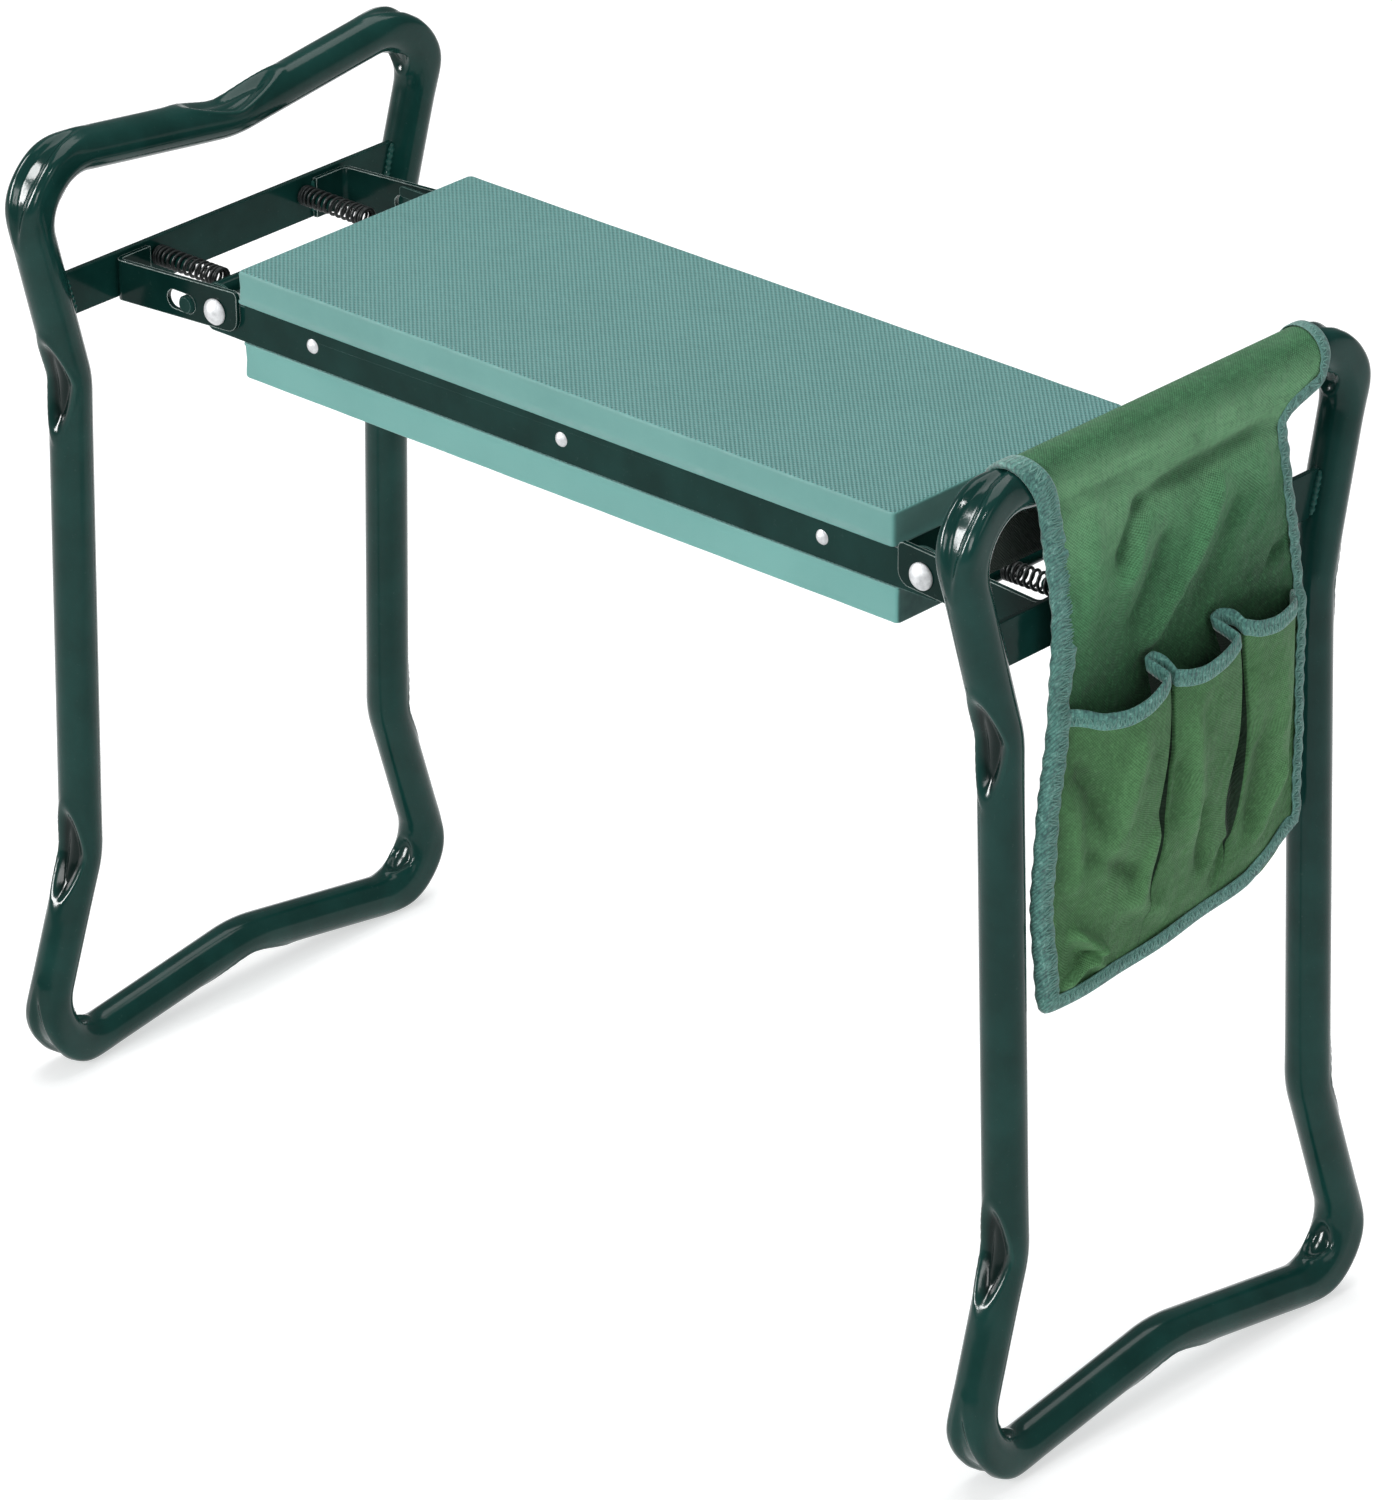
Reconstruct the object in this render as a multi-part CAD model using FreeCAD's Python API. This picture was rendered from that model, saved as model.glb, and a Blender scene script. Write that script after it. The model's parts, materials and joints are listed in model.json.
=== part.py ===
import FreeCAD, Part
import math
import os
from FreeCAD import Vector

# Folding garden kneeler seat. A padded steel seat core carries a looped tube frame at each
# end on a pair of pivot bolts. A sprung lock bar in each frame keeps it open.
# X runs along the seat, Y across it, Z up. The origin is on the ground, below the seat's middle.
# "w" is height measured from the pivot axis, up along the frame.

# Tube loop of an end frame
TUBE_R = 10.5
TUBE_WALL = 1.2
FOOT_HALF = 142.0
FOOT_APEX_W = -408.0
FOOT_MID_W = -386.0
KNEE_HALF = 106.5
LOW_KNEE_W = -297.5
HIGH_KNEE_W = -44.5
HANDLE_HALF = 139.0
HANDLE_APEX_W = 75.0
HANDLE_MID_W = 56.5
CORNER_BEND = 29.5
KNEE_BEND = 48.0
MID_BEND = 72.0
FRAME_X = 289.3
LEAN_DEG = 1.33

# Seat core and pads
SEAT_HALF_LENGTH = 204.2
TOP_PAD_HALF = 78.8
TOP_PAD_THICK = 16.4
BOTTOM_PAD_HALF = 75.9
BOTTOM_PAD_THICK = 18.2
CORE_TOP_W = 9.0
CORE_BOTTOM_W = -11.6
CORE_HALF = 75.0
SHEET = 1.2
CORE_END_GAP = 0.8
PAD_EDGE = 1.2

# Pivots, arms and ears
PIVOT_X = 219.7
BOLT_R = 4.0
RUNNING_GAP = 0.05
SIDE_GAP = 0.3
ARM_THICK = 2.5
ARM_END = 14.0
ARM_FLANGE = 22.0
ARM_ROOT_TOP_W = 7.6
ARM_ROOT_LOW_W = -12.8
ARM_END_TOP_W = 13.0
ARM_END_LOW_W = -7.4
EAR_R = 12.8
EAR_ROOT = 12.0
EAR_STEP = 3.0
EAR_BACK = 6.0
FINGER_ROUND = 2.0
ARM_LOW_ROUND = 7.0
ARM_HIGH_ROUND = 3.0
HEAD_R = 6.5
HEAD_HIGH = 3.4
HEAD_RIM = 0.8
SHANK_INSIDE = 12.0
WASHER_R = 8.0
WASHER_THICK = 1.6
NUT_R = 7.5
NUT_HIGH = 6.5
CROSSBAR_THICK = 3.0
CROSSBAR_TOP_W = 9.9
CROSSBAR_BOTTOM_W = -12.8

# Lock bar, its springs and studs
LOCK_OFFSET = 18.4
LOCK_W = -1.5
LOCK_R = 5.0
JOURNAL_R = 4.5
LOCK_HALF = 80.0
LOCK_TRAVEL = 9.0
SPRING_Y = 49.0
SPRING_W = 1.0
SPRING_R = 4.35
SPRING_WIRE_R = 0.8
SPRING_TURNS = 14
STUD_R = 3.1
STUD_LENGTH = 22.0
STUD_CHAMFER = 0.6
TIP_CHAMFER = 0.8
SHOULDER_GAP = 0.6

# Rivets that hold the two pans together
RIVET_X = 158.6
RIVET_W = -1.0
RIVET_R = 2.5
RIVET_TAIL_R = 3.5
RIVET_TAIL_THICK = 1.4
RIVET_HEAD_R = 3.6
RIVET_HEAD_HIGH = 1.9
HOLE_REACH = 6.0

# Tool pouch on the right frame
CLOTH = 1.2
SADDLE_GAP = 0.5
SADDLE_W = 69.5
POUCH_TOP_HALF = 103.0
POUCH_HALF = 89.0
POUCH_BOTTOM_W = -181.0
POUCH_SHOULDER_W = 46.0
FLAP_W = 26.0
POUCH_CORNER = 14.0
TAPE_WIDTH = 9.0
TAPE_THICK = 0.6
POCKET_TOP_W = -36.0
POCKET_BOTTOM_W = -171.0
POCKET_DEPTH = 14.0
POCKET_FOOT = 2.4
POCKETS = [(-79.0, -18.0), (-14.0, 31.0), (35.0, 79.0)]

# Blanks that are larger than what is cut from them, and how near a point has to be to match
STOCK = 100.0
BORE_FROM = 60.0
BORE_TO = 90.0
NEAR = 0.1
EXACT = 0.01
ALIGNED = 0.999

X_AXIS = Vector(1, 0, 0)
Y_AXIS = Vector(0, 1, 0)
Z_AXIS = Vector(0, 0, 1)
ORIGIN = Vector(0, 0, 0)


def box(x0, x1, y0, y1, z0, z1):
    return Part.makeBox(x1 - x0, y1 - y0, z1 - z0, Vector(x0, y0, z0))


def rod_y(x, z, radius, y0, y1):
    return Part.makeCylinder(radius, y1 - y0, Vector(x, y0, z), Y_AXIS)


def rod_x(y, z, radius, x0, x1):
    return Part.makeCylinder(radius, x1 - x0, Vector(x0, y, z), X_AXIS)


def prism(points, along):
    """A flat closed outline of points, swept straight along a vector."""
    closed = [Vector(*p) for p in points]
    face = Part.Face(Part.makePolygon(closed + closed[:1]))
    return face.extrude(along)


def fuse(shapes):
    return shapes[0].multiFuse(shapes[1:]).removeSplitter()


def flip_x(shape):
    return shape.mirror(ORIGIN, X_AXIS)


def flip_y(shape):
    return shape.mirror(ORIGIN, Y_AXIS)


def edges_along(shape, axis, keep):
    """The straight edges parallel to an axis whose middle passes the test keep."""
    found = []
    for edge in shape.Edges:
        run = edge.Vertexes[-1].Point - edge.Vertexes[0].Point
        straight = run.Length > 0 and abs(run.normalize().dot(axis)) > ALIGNED
        if straight and keep(edge.CenterOfMass):
            found.append(edge)
    return found


# ---------------------------------------------------------------- end frames


def loop_corners():
    """Corners of the tube's centreline as (y, w, bend radius), once round the loop."""
    half = [
        (FOOT_HALF, FOOT_APEX_W, CORNER_BEND),
        (KNEE_HALF, LOW_KNEE_W, KNEE_BEND),
        (KNEE_HALF, HIGH_KNEE_W, KNEE_BEND),
        (HANDLE_HALF, HANDLE_APEX_W, CORNER_BEND),
    ]
    other = [(-y, w, bend) for y, w, bend in reversed(half)]
    return [(0, FOOT_MID_W, MID_BEND)] + half + [(0, HANDLE_MID_W, MID_BEND)] + other


def bend_data(before, corner, after, radius):
    """Where a bend starts and ends, its centre, and the angle in degrees it turns through."""
    back = (before - corner).normalize()
    ahead = (after - corner).normalize()
    half_angle = back.getAngle(ahead) / 2
    start = corner + back * (radius / math.tan(half_angle))
    end = corner + ahead * (radius / math.tan(half_angle))
    centre = corner + (back + ahead).normalize() * (radius / math.sin(half_angle))
    turn = 180 - 2 * math.degrees(half_angle)
    return start, end, centre, turn


def ring(centre, direction, outer, inner):
    wires = [Part.Wire(Part.makeCircle(outer, centre, direction))]
    if inner > 0:
        wires.append(Part.Wire(Part.makeCircle(inner, centre, direction)))
    return Part.makeFace(wires, "Part::FaceMakerBullseye")


def bent_loop(outer, inner):
    """The closed tube: straight runs joined by arcs, in the plane x = 0."""
    corners = loop_corners()
    points = [Vector(0, y, w) for y, w, _ in corners]
    count = len(points)
    bends = []
    for i, (_, _, radius) in enumerate(corners):
        bends.append(bend_data(points[i - 1], points[i], points[(i + 1) % count], radius))
    pieces = []
    for i, (start, end, centre, turn) in enumerate(bends):
        run_start = bends[i - 1][1]
        run = start - run_start
        pieces.append(ring(run_start, run, outer, inner).extrude(run))
        axis = (start - centre).cross(end - centre).normalize()
        pieces.append(ring(start, run, outer, inner).revolve(centre, axis, turn))
    return fuse(pieces)


def lowest_centreline_w():
    """The lowest point of the tube's centreline, at the underside of a foot bend."""
    foot = Vector(0, FOOT_HALF, FOOT_APEX_W)
    middle = Vector(0, 0, FOOT_MID_W)
    knee = Vector(0, KNEE_HALF, LOW_KNEE_W)
    centre = bend_data(middle, foot, knee, CORNER_BEND)[2]
    return centre.z - CORNER_BEND


LEAN = math.radians(LEAN_DEG)
PIVOT_Z = TUBE_R - lowest_centreline_w() * math.cos(LEAN)
CROSSBAR_FACE = FRAME_X - CROSSBAR_THICK / 2
ARM_IN = CORE_HALF + SIDE_GAP
ARM_OUT = ARM_IN + ARM_THICK
LOCK_X = PIVOT_X + LOCK_OFFSET
LOCK_Z = PIVOT_Z + LOCK_W


def frame_x_at(w):
    """The frame leans in towards its top: X of its mid-plane at height w."""
    return FRAME_X - w * math.sin(LEAN)


def placed_loop(outer, inner):
    loop = bent_loop(outer, inner)
    loop.rotate(ORIGIN, Y_AXIS, -LEAN_DEG)
    loop.translate(Vector(FRAME_X, 0, PIVOT_Z))
    return loop


def crossbar(solid_loop):
    """A flat strip between the two side tubes, its ends cut to their round."""
    reach = HANDLE_HALF
    strip = box(CROSSBAR_FACE, CROSSBAR_FACE + CROSSBAR_THICK, -reach, reach,
                PIVOT_Z + CROSSBAR_BOTTOM_W, PIVOT_Z + CROSSBAR_TOP_W)
    parts = strip.cut(solid_loop).Solids
    return min(parts, key=lambda s: abs(s.CenterOfMass.y))


def arm_plan():
    """The arm seen from above: a strip along X whose end turns in along the crossbar."""
    inner_bend = ARM_THICK
    outer_bend = 2 * ARM_THICK
    start = PIVOT_X - ARM_END
    long_leg = box(start, CROSSBAR_FACE, ARM_IN, ARM_OUT, 0, STOCK)
    short_leg = box(CROSSBAR_FACE - ARM_THICK, CROSSBAR_FACE, ARM_OUT - ARM_FLANGE, ARM_OUT, 0, STOCK)
    shape = fuse([long_leg, short_leg])

    def at_outer(p):
        return p.x > CROSSBAR_FACE - NEAR and p.y > ARM_OUT - NEAR

    def at_inner(p):
        near_leg = abs(p.x - (CROSSBAR_FACE - ARM_THICK)) < NEAR
        return near_leg and abs(p.y - ARM_IN) < NEAR

    shape = shape.makeFillet(outer_bend, edges_along(shape, Z_AXIS, at_outer))
    shape = shape.makeFillet(inner_bend, edges_along(shape, Z_AXIS, at_inner))
    shape.translate(Vector(0, 0, PIVOT_Z - STOCK / 2))
    return shape


def arm_side():
    """The arm seen from the side: it rises a little towards the seat."""
    seat_end = PIVOT_X - ARM_END
    outline = prism(
        [
            (seat_end, 0, PIVOT_Z + ARM_END_LOW_W),
            (CROSSBAR_FACE, 0, PIVOT_Z + ARM_ROOT_LOW_W),
            (CROSSBAR_FACE, 0, PIVOT_Z + ARM_ROOT_TOP_W),
            (seat_end, 0, PIVOT_Z + ARM_END_TOP_W),
        ],
        Vector(0, STOCK, 0),
    )

    def low_corner(p):
        return p.x < seat_end + NEAR and p.z < PIVOT_Z

    def high_corner(p):
        return p.x < seat_end + NEAR and p.z > PIVOT_Z

    outline = outline.makeFillet(ARM_LOW_ROUND, edges_along(outline, Y_AXIS, low_corner))
    return outline.makeFillet(ARM_HIGH_ROUND, edges_along(outline, Y_AXIS, high_corner))


def lock_slot():
    """The slot in which the lock bar's journal slides out along X."""
    half = JOURNAL_R + SIDE_GAP
    ends = [rod_y(x, LOCK_Z, half, BORE_FROM, BORE_TO) for x in (LOCK_X, LOCK_X + LOCK_TRAVEL)]
    middle = box(LOCK_X, LOCK_X + LOCK_TRAVEL, BORE_FROM, BORE_TO, LOCK_Z - half, LOCK_Z + half)
    return fuse(ends + [middle])


def hinge_arm():
    bore = rod_y(PIVOT_X, PIVOT_Z, BOLT_R + RUNNING_GAP, BORE_FROM, BORE_TO)
    return arm_plan().common(arm_side()).cut(bore).cut(lock_slot())


def lock_bar():
    """A round bar across the frame, with thinner journals in the arms' slots."""
    shoulder = CORE_HALF - SHEET - SHOULDER_GAP
    bar = rod_y(LOCK_X, LOCK_Z, LOCK_R, -shoulder, shoulder)
    journal = rod_y(LOCK_X, LOCK_Z, JOURNAL_R, -LOCK_HALF, LOCK_HALF)
    whole = fuse([bar, journal])
    tips = [e for e in whole.Edges if abs(abs(e.CenterOfMass.y) - LOCK_HALF) < EXACT]
    return whole.makeChamfer(TIP_CHAMFER, tips)


def spring_stud(y):
    z = PIVOT_Z + SPRING_W
    stud = rod_x(y, z, STUD_R, CROSSBAR_FACE - STUD_LENGTH, CROSSBAR_FACE)
    tip = [e for e in stud.Edges if e.CenterOfMass.x < CROSSBAR_FACE - STUD_LENGTH + EXACT]
    return stud.makeChamfer(STUD_CHAMFER, tip[:1])


def lock_spring(y):
    """A coil spring pressed between the lock bar and the crossbar."""
    x0 = LOCK_X + LOCK_R + SIDE_GAP + SPRING_WIRE_R
    x1 = CROSSBAR_FACE - SIDE_GAP - SPRING_WIRE_R
    length = x1 - x0
    helix = Part.makeHelix(length / SPRING_TURNS, length, SPRING_R)
    profile = Part.Wire(Part.makeCircle(SPRING_WIRE_R, Vector(SPRING_R, 0, 0), Y_AXIS))
    coil = Part.Wire(helix.Edges).makePipeShell([profile], True, True)
    coil.rotate(ORIGIN, Y_AXIS, 90)
    coil.translate(Vector(x0, y, PIVOT_Z + SPRING_W))
    return coil


# ---------------------------------------------------------------- seat


def tray(half_length, half_width, z_closed, z_open):
    """A pressed steel tray, open towards z_open, with its walls one sheet thick."""
    low, high = sorted((z_closed, z_open))
    shift = SHEET if z_closed < z_open else -SHEET
    outer = box(-half_length, half_length, -half_width, half_width, low, high)

    def at_web(p):
        return abs(p.z - z_closed) < EXACT

    outer = outer.makeFillet(2 * SHEET, edges_along(outer, X_AXIS, at_web))
    in_length = half_length - SHEET
    in_width = half_width - SHEET
    inner = box(-in_length, in_length, -in_width, in_width, low + shift, high + shift)

    def at_inner_web(p):
        return abs(p.z - z_closed - shift) < EXACT

    inner = inner.makeFillet(SHEET, edges_along(inner, X_AXIS, at_inner_web))
    return outer.cut(inner)


def ear():
    """One ear of the upper pan: round about the pivot, with a stop finger over the lock bar."""
    root = SEAT_HALF_LENGTH - EAR_ROOT
    y0, y1 = CORE_HALF - SHEET, CORE_HALF
    plate = box(root, PIVOT_X, y0, y1, PIVOT_Z + CORE_BOTTOM_W, PIVOT_Z + CORE_TOP_W - EAR_STEP)
    end = rod_y(PIVOT_X, PIVOT_Z, EAR_R, y0, y1)
    end_zone = box(PIVOT_X - EAR_BACK, PIVOT_X + EAR_R, y0, y1, PIVOT_Z + CORE_BOTTOM_W, PIVOT_Z + EAR_R)
    finger_low = PIVOT_Z + LOCK_W + JOURNAL_R + 2 * SIDE_GAP
    finger = box(PIVOT_X, LOCK_X + 2 * JOURNAL_R, y0, y1, finger_low, PIVOT_Z + CORE_TOP_W)

    def tip(p):
        return p.x > LOCK_X

    finger = finger.makeFillet(FINGER_ROUND, edges_along(finger, Y_AXIS, tip))
    return fuse([plate, end.common(end_zone), finger])


def rivet_holes(outer, inner):
    found = []
    for x in (-RIVET_X, 0, RIVET_X):
        for side in (1, -1):
            y0, y1 = sorted((side * outer, side * inner))
            found.append(rod_y(x, PIVOT_Z + RIVET_W, RIVET_R, y0, y1))
    return found


def upper_pan():
    half_length = SEAT_HALF_LENGTH - CORE_END_GAP
    pan = tray(half_length, CORE_HALF, PIVOT_Z + CORE_TOP_W, PIVOT_Z + CORE_BOTTOM_W)
    one = ear()
    ears = [one, flip_x(one), flip_y(one), flip_x(flip_y(one))]
    pan = fuse([pan] + ears)
    bores = [rod_y(side * PIVOT_X, PIVOT_Z, BOLT_R, -BORE_TO, BORE_TO) for side in (1, -1)]
    for cutter in bores + rivet_holes(CORE_HALF + 1, CORE_HALF - HOLE_REACH):
        pan = pan.cut(cutter)
    return pan


def lower_pan():
    half_length = SEAT_HALF_LENGTH - CORE_END_GAP - SHEET - 0.2
    top = PIVOT_Z + CORE_TOP_W - 2 * SHEET
    pan = tray(half_length, CORE_HALF - SHEET, PIVOT_Z + CORE_BOTTOM_W, top)
    for cutter in rivet_holes(CORE_HALF + 1, CORE_HALF - HOLE_REACH):
        pan = pan.cut(cutter)
    return pan


def pad(half_width, z0, z1):
    slab = box(-SEAT_HALF_LENGTH, SEAT_HALF_LENGTH, -half_width, half_width, z0, z1)
    return slab.makeFillet(PAD_EDGE, slab.Edges)


def dome(x, z, radius, height, y, side):
    """A low round head standing out of the plane y, on the side given by the sign."""
    ball_r = (radius ** 2 + height ** 2) / (2 * height)
    ball = Part.makeSphere(ball_r, Vector(x, side * (y + height - ball_r), z))
    y0, y1 = sorted((side * y, side * (y + height + 1)))
    return ball.common(rod_y(x, z, radius, y0, y1))


def rivet(x, side):
    z = PIVOT_Z + RIVET_W
    inside = CORE_HALF - 2 * SHEET
    y0, y1 = sorted((side * inside, side * CORE_HALF))
    shank = rod_y(x, z, RIVET_R, y0, y1)
    t0, t1 = sorted((side * (inside - RIVET_TAIL_THICK), side * inside))
    tail = rod_y(x, z, RIVET_TAIL_R, t0, t1)
    return fuse([shank, tail, dome(x, z, RIVET_HEAD_R, RIVET_HEAD_HIGH, CORE_HALF, side)])


def pivot_bolt(x, side):
    head_face = ARM_OUT + SIDE_GAP
    head = dome(x, PIVOT_Z, HEAD_R, HEAD_HIGH, head_face + HEAD_RIM, side)
    r0, r1 = sorted((side * head_face, side * (head_face + HEAD_RIM)))
    rim = rod_y(x, PIVOT_Z, HEAD_R, r0, r1)
    s0, s1 = sorted((side * (CORE_HALF - SHANK_INSIDE), side * head_face))
    return fuse([head, rim, rod_y(x, PIVOT_Z, BOLT_R, s0, s1)])


def washer(x, side):
    w0, w1 = sorted((side * (CORE_HALF - SHEET - WASHER_THICK), side * (CORE_HALF - SHEET)))
    disc = rod_y(x, PIVOT_Z, WASHER_R, w0, w1)
    return disc.cut(rod_y(x, PIVOT_Z, BOLT_R, w0, w1))


def nut(x, side):
    """A lock nut with its bolt's bore through it."""
    near = CORE_HALF - SHEET - WASHER_THICK
    n0, n1 = sorted((side * (near - NUT_HIGH), side * near))
    points = []
    for k in range(6):
        angle = math.radians(60 * k)
        points.append((x + NUT_R * math.cos(angle), n0, PIVOT_Z + NUT_R * math.sin(angle)))
    hexagon = prism(points, Vector(0, n1 - n0, 0))
    return hexagon.cut(rod_y(x, PIVOT_Z, BOLT_R, n0, n1))


# ---------------------------------------------------------------- tool pouch

SADDLE_R = TUBE_R + SADDLE_GAP
SADDLE_X = frame_x_at(HANDLE_MID_W)
SADDLE_Z = PIVOT_Z + SADDLE_W
PANEL_IN = SADDLE_X + SADDLE_R
PANEL_OUT = PANEL_IN + CLOTH


def saddle(radius, outer_low, inner_low, half_width):
    """A block rounded over the handle: straight sides down, half a cylinder on top."""
    cap = rod_y(SADDLE_X, SADDLE_Z, radius, -half_width, half_width)
    outer = box(SADDLE_X, SADDLE_X + radius, -half_width, half_width, outer_low, SADDLE_Z)
    inner = box(SADDLE_X - radius, SADDLE_X, -half_width, half_width, inner_low, SADDLE_Z)
    return fuse([cap, outer, inner])


def pouch_panel():
    """The backing cloth: over the handle, with a short flap inside and a long panel outside."""
    low = PIVOT_Z + POUCH_BOTTOM_W
    flap = PIVOT_Z + FLAP_W
    cloth = saddle(SADDLE_R + CLOTH, low, flap, POUCH_TOP_HALF)
    cloth = cloth.cut(saddle(SADDLE_R, low - 1, flap - 1, POUCH_TOP_HALF + 1))
    shoulder = PIVOT_Z + POUCH_SHOULDER_W
    for side in (1, -1):
        y0, y1 = sorted((side * POUCH_HALF, side * (POUCH_TOP_HALF + 2)))
        trim = box(SADDLE_X, PANEL_OUT + 5, y0, y1, low - 5, shoulder)
        cloth = cloth.cut(trim)

    def bottom_corner(p):
        return p.z < low + EXACT or (abs(abs(p.y) - POUCH_HALF) < EXACT and p.z < low + 1)

    return cloth.makeFillet(POUCH_CORNER, edges_along(cloth, X_AXIS, bottom_corner))


def rounded_plate(x0, x1, half_width, z0, z1, corner):
    plate = box(x0, x1, -half_width, half_width, z0, z1)

    def low(p):
        return p.z < z0 + EXACT

    return plate.makeFillet(corner, edges_along(plate, X_AXIS, low))


def pouch_binding():
    """The tape sewn round the sides and the bottom of the long panel."""
    low = PIVOT_Z + POUCH_BOTTOM_W
    top = PIVOT_Z + POUCH_SHOULDER_W
    x0, x1 = PANEL_OUT, PANEL_OUT + TAPE_THICK
    whole = rounded_plate(x0, x1, POUCH_HALF, low, top, POUCH_CORNER)
    inside = rounded_plate(x0 - 1, x1 + 1, POUCH_HALF - TAPE_WIDTH, low + TAPE_WIDTH, top + 1,
                           POUCH_CORNER - TAPE_WIDTH)
    return whole.cut(inside)


def pocket(y0, y1):
    """One open-topped pocket, deep at its mouth and flat at its foot."""
    top = PIVOT_Z + POCKET_TOP_W
    bottom = PIVOT_Z + POCKET_BOTTOM_W

    def wedge(inset, lift):
        return prism(
            [
                (PANEL_OUT, y0 + inset, top + lift),
                (PANEL_OUT + POCKET_DEPTH - inset, y0 + inset, top + lift),
                (PANEL_OUT + POCKET_FOOT - inset, y0 + inset, bottom + inset),
                (PANEL_OUT, y0 + inset, bottom + inset),
            ],
            Vector(0, y1 - y0 - 2 * inset, 0),
        )

    mouth = box(PANEL_OUT, PANEL_OUT + POCKET_DEPTH + 5, y0 - 1, y1 + 1, top, top + 5)
    return wedge(0, 0).cut(wedge(CLOTH, 1.0)).cut(mouth)


# ---------------------------------------------------------------- the nodes


def both_ends(make):
    """The same piece at the front and the rear of one end."""
    return Part.makeCompound([make(1), make(-1)])


def end_nodes(name, place):
    """The nodes of one end frame. place puts a piece made for the right end at its own end."""
    hollow = placed_loop(TUBE_R, TUBE_R - TUBE_WALL)
    solid = placed_loop(TUBE_R, 0)
    arm = hinge_arm()
    studs = [spring_stud(y) for y in (-SPRING_Y, SPRING_Y)]
    coils = [lock_spring(y) for y in (-SPRING_Y, SPRING_Y)]
    made = {
        "frame_tube": hollow,
        "crossbar": crossbar(solid),
        "front_hinge_arm": flip_y(arm),
        "rear_hinge_arm": arm,
        "spring_studs": Part.makeCompound(studs),
        "lock_springs": Part.makeCompound(coils),
        "lock_bar": lock_bar(),
        "pivot_bolts": both_ends(lambda side: pivot_bolt(PIVOT_X, side)),
        "pivot_washers": both_ends(lambda side: washer(PIVOT_X, side)),
        "pivot_nuts": both_ends(lambda side: nut(PIVOT_X, side)),
    }
    return {name + "_" + key: place(shape) for key, shape in made.items()}


def seat_nodes():
    top = PIVOT_Z + CORE_TOP_W
    bottom = PIVOT_Z + CORE_BOTTOM_W
    rivets = [rivet(x, side) for x in (-RIVET_X, 0, RIVET_X) for side in (1, -1)]
    return {
        "upper_pan": upper_pan(),
        "lower_pan": lower_pan(),
        "top_pad": pad(TOP_PAD_HALF, top, top + TOP_PAD_THICK),
        "bottom_pad": pad(BOTTOM_PAD_HALF, bottom - BOTTOM_PAD_THICK, bottom),
        "pan_rivets": Part.makeCompound(rivets),
    }


def pouch_nodes():
    return {
        "pouch_panel": pouch_panel(),
        "pouch_binding": pouch_binding(),
        "pouch_pockets": Part.makeCompound([pocket(y0, y1) for y0, y1 in POCKETS]),
    }


def main():
    nodes = seat_nodes()
    nodes.update(end_nodes("left", flip_x))
    nodes.update(end_nodes("right", lambda shape: shape))
    nodes.update(pouch_nodes())
    for name, shape in nodes.items():
        shape.exportStep("parts/" + name + ".step")
        box_mm = shape.BoundBox
        print(f"{name:24s} solids {len(shape.Solids)} valid {shape.isValid()} "
              f"volume {shape.Volume:10.0f} x {box_mm.XMin:7.1f} {box_mm.XMax:7.1f} "
              f"y {box_mm.YMin:7.1f} {box_mm.YMax:7.1f} z {box_mm.ZMin:7.1f} {box_mm.ZMax:7.1f}")


os.makedirs("parts", exist_ok=True)
main()
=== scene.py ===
import json
import math

import bmesh
import bpy
import numpy as np
from mathutils import Matrix, Vector


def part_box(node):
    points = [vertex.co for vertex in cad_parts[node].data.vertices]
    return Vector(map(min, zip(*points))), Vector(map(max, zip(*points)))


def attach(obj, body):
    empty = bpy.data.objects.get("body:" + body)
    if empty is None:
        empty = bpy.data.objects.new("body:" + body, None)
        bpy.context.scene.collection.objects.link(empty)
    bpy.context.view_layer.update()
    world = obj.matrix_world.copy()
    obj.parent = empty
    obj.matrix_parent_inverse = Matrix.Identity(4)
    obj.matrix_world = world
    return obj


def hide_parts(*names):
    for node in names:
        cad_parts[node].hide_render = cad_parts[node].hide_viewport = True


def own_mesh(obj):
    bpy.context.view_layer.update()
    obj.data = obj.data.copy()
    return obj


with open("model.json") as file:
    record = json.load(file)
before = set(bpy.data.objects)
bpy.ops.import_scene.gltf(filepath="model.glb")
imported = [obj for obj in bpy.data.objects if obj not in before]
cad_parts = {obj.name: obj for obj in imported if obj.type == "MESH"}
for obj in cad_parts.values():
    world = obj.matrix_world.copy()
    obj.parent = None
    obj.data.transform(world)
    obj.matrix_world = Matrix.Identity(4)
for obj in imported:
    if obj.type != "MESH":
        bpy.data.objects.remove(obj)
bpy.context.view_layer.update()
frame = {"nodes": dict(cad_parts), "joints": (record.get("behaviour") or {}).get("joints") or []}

# Folding garden kneeler seat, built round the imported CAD. Metres; +X towards the pouch, +Y across the
# seat, +Z up; w is height above the pivot axis.

JOINTS = {joint["name"]: joint for joint in frame["joints"]}
PIVOT_Z = JOINTS["right_fold"]["pos_m"][2]
ENDS = (("left", -1), ("right", 1))
MM = 0.001
TURN = 2 * math.pi

# Tube loop of an end frame
TUBE_R = 10.5 * MM
LEAN = math.radians(1.33)
FRAME_X = 289.3 * MM
# The loop's corners: y, w, bend radius (in mm) and kind. Those of one side run up from the foot.
FOOT_MIDDLE = (0, -386, 72, "mid")
SIDE_CORNERS = ((142, -408, 29.5, "corner"), (106.5, -297.5, 48, "knee"), (106.5, -44.5, 48, "knee"),
                (139, 75, 29.5, "corner"))
HANDLE_MIDDLE = (0, 56.5, 72, "mid")
RING_SIDES = 72
FINE_STEP = 1.25 * MM
COARSE_STEP = 6 * MM
FINE_REACH = 42 * MM

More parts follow.
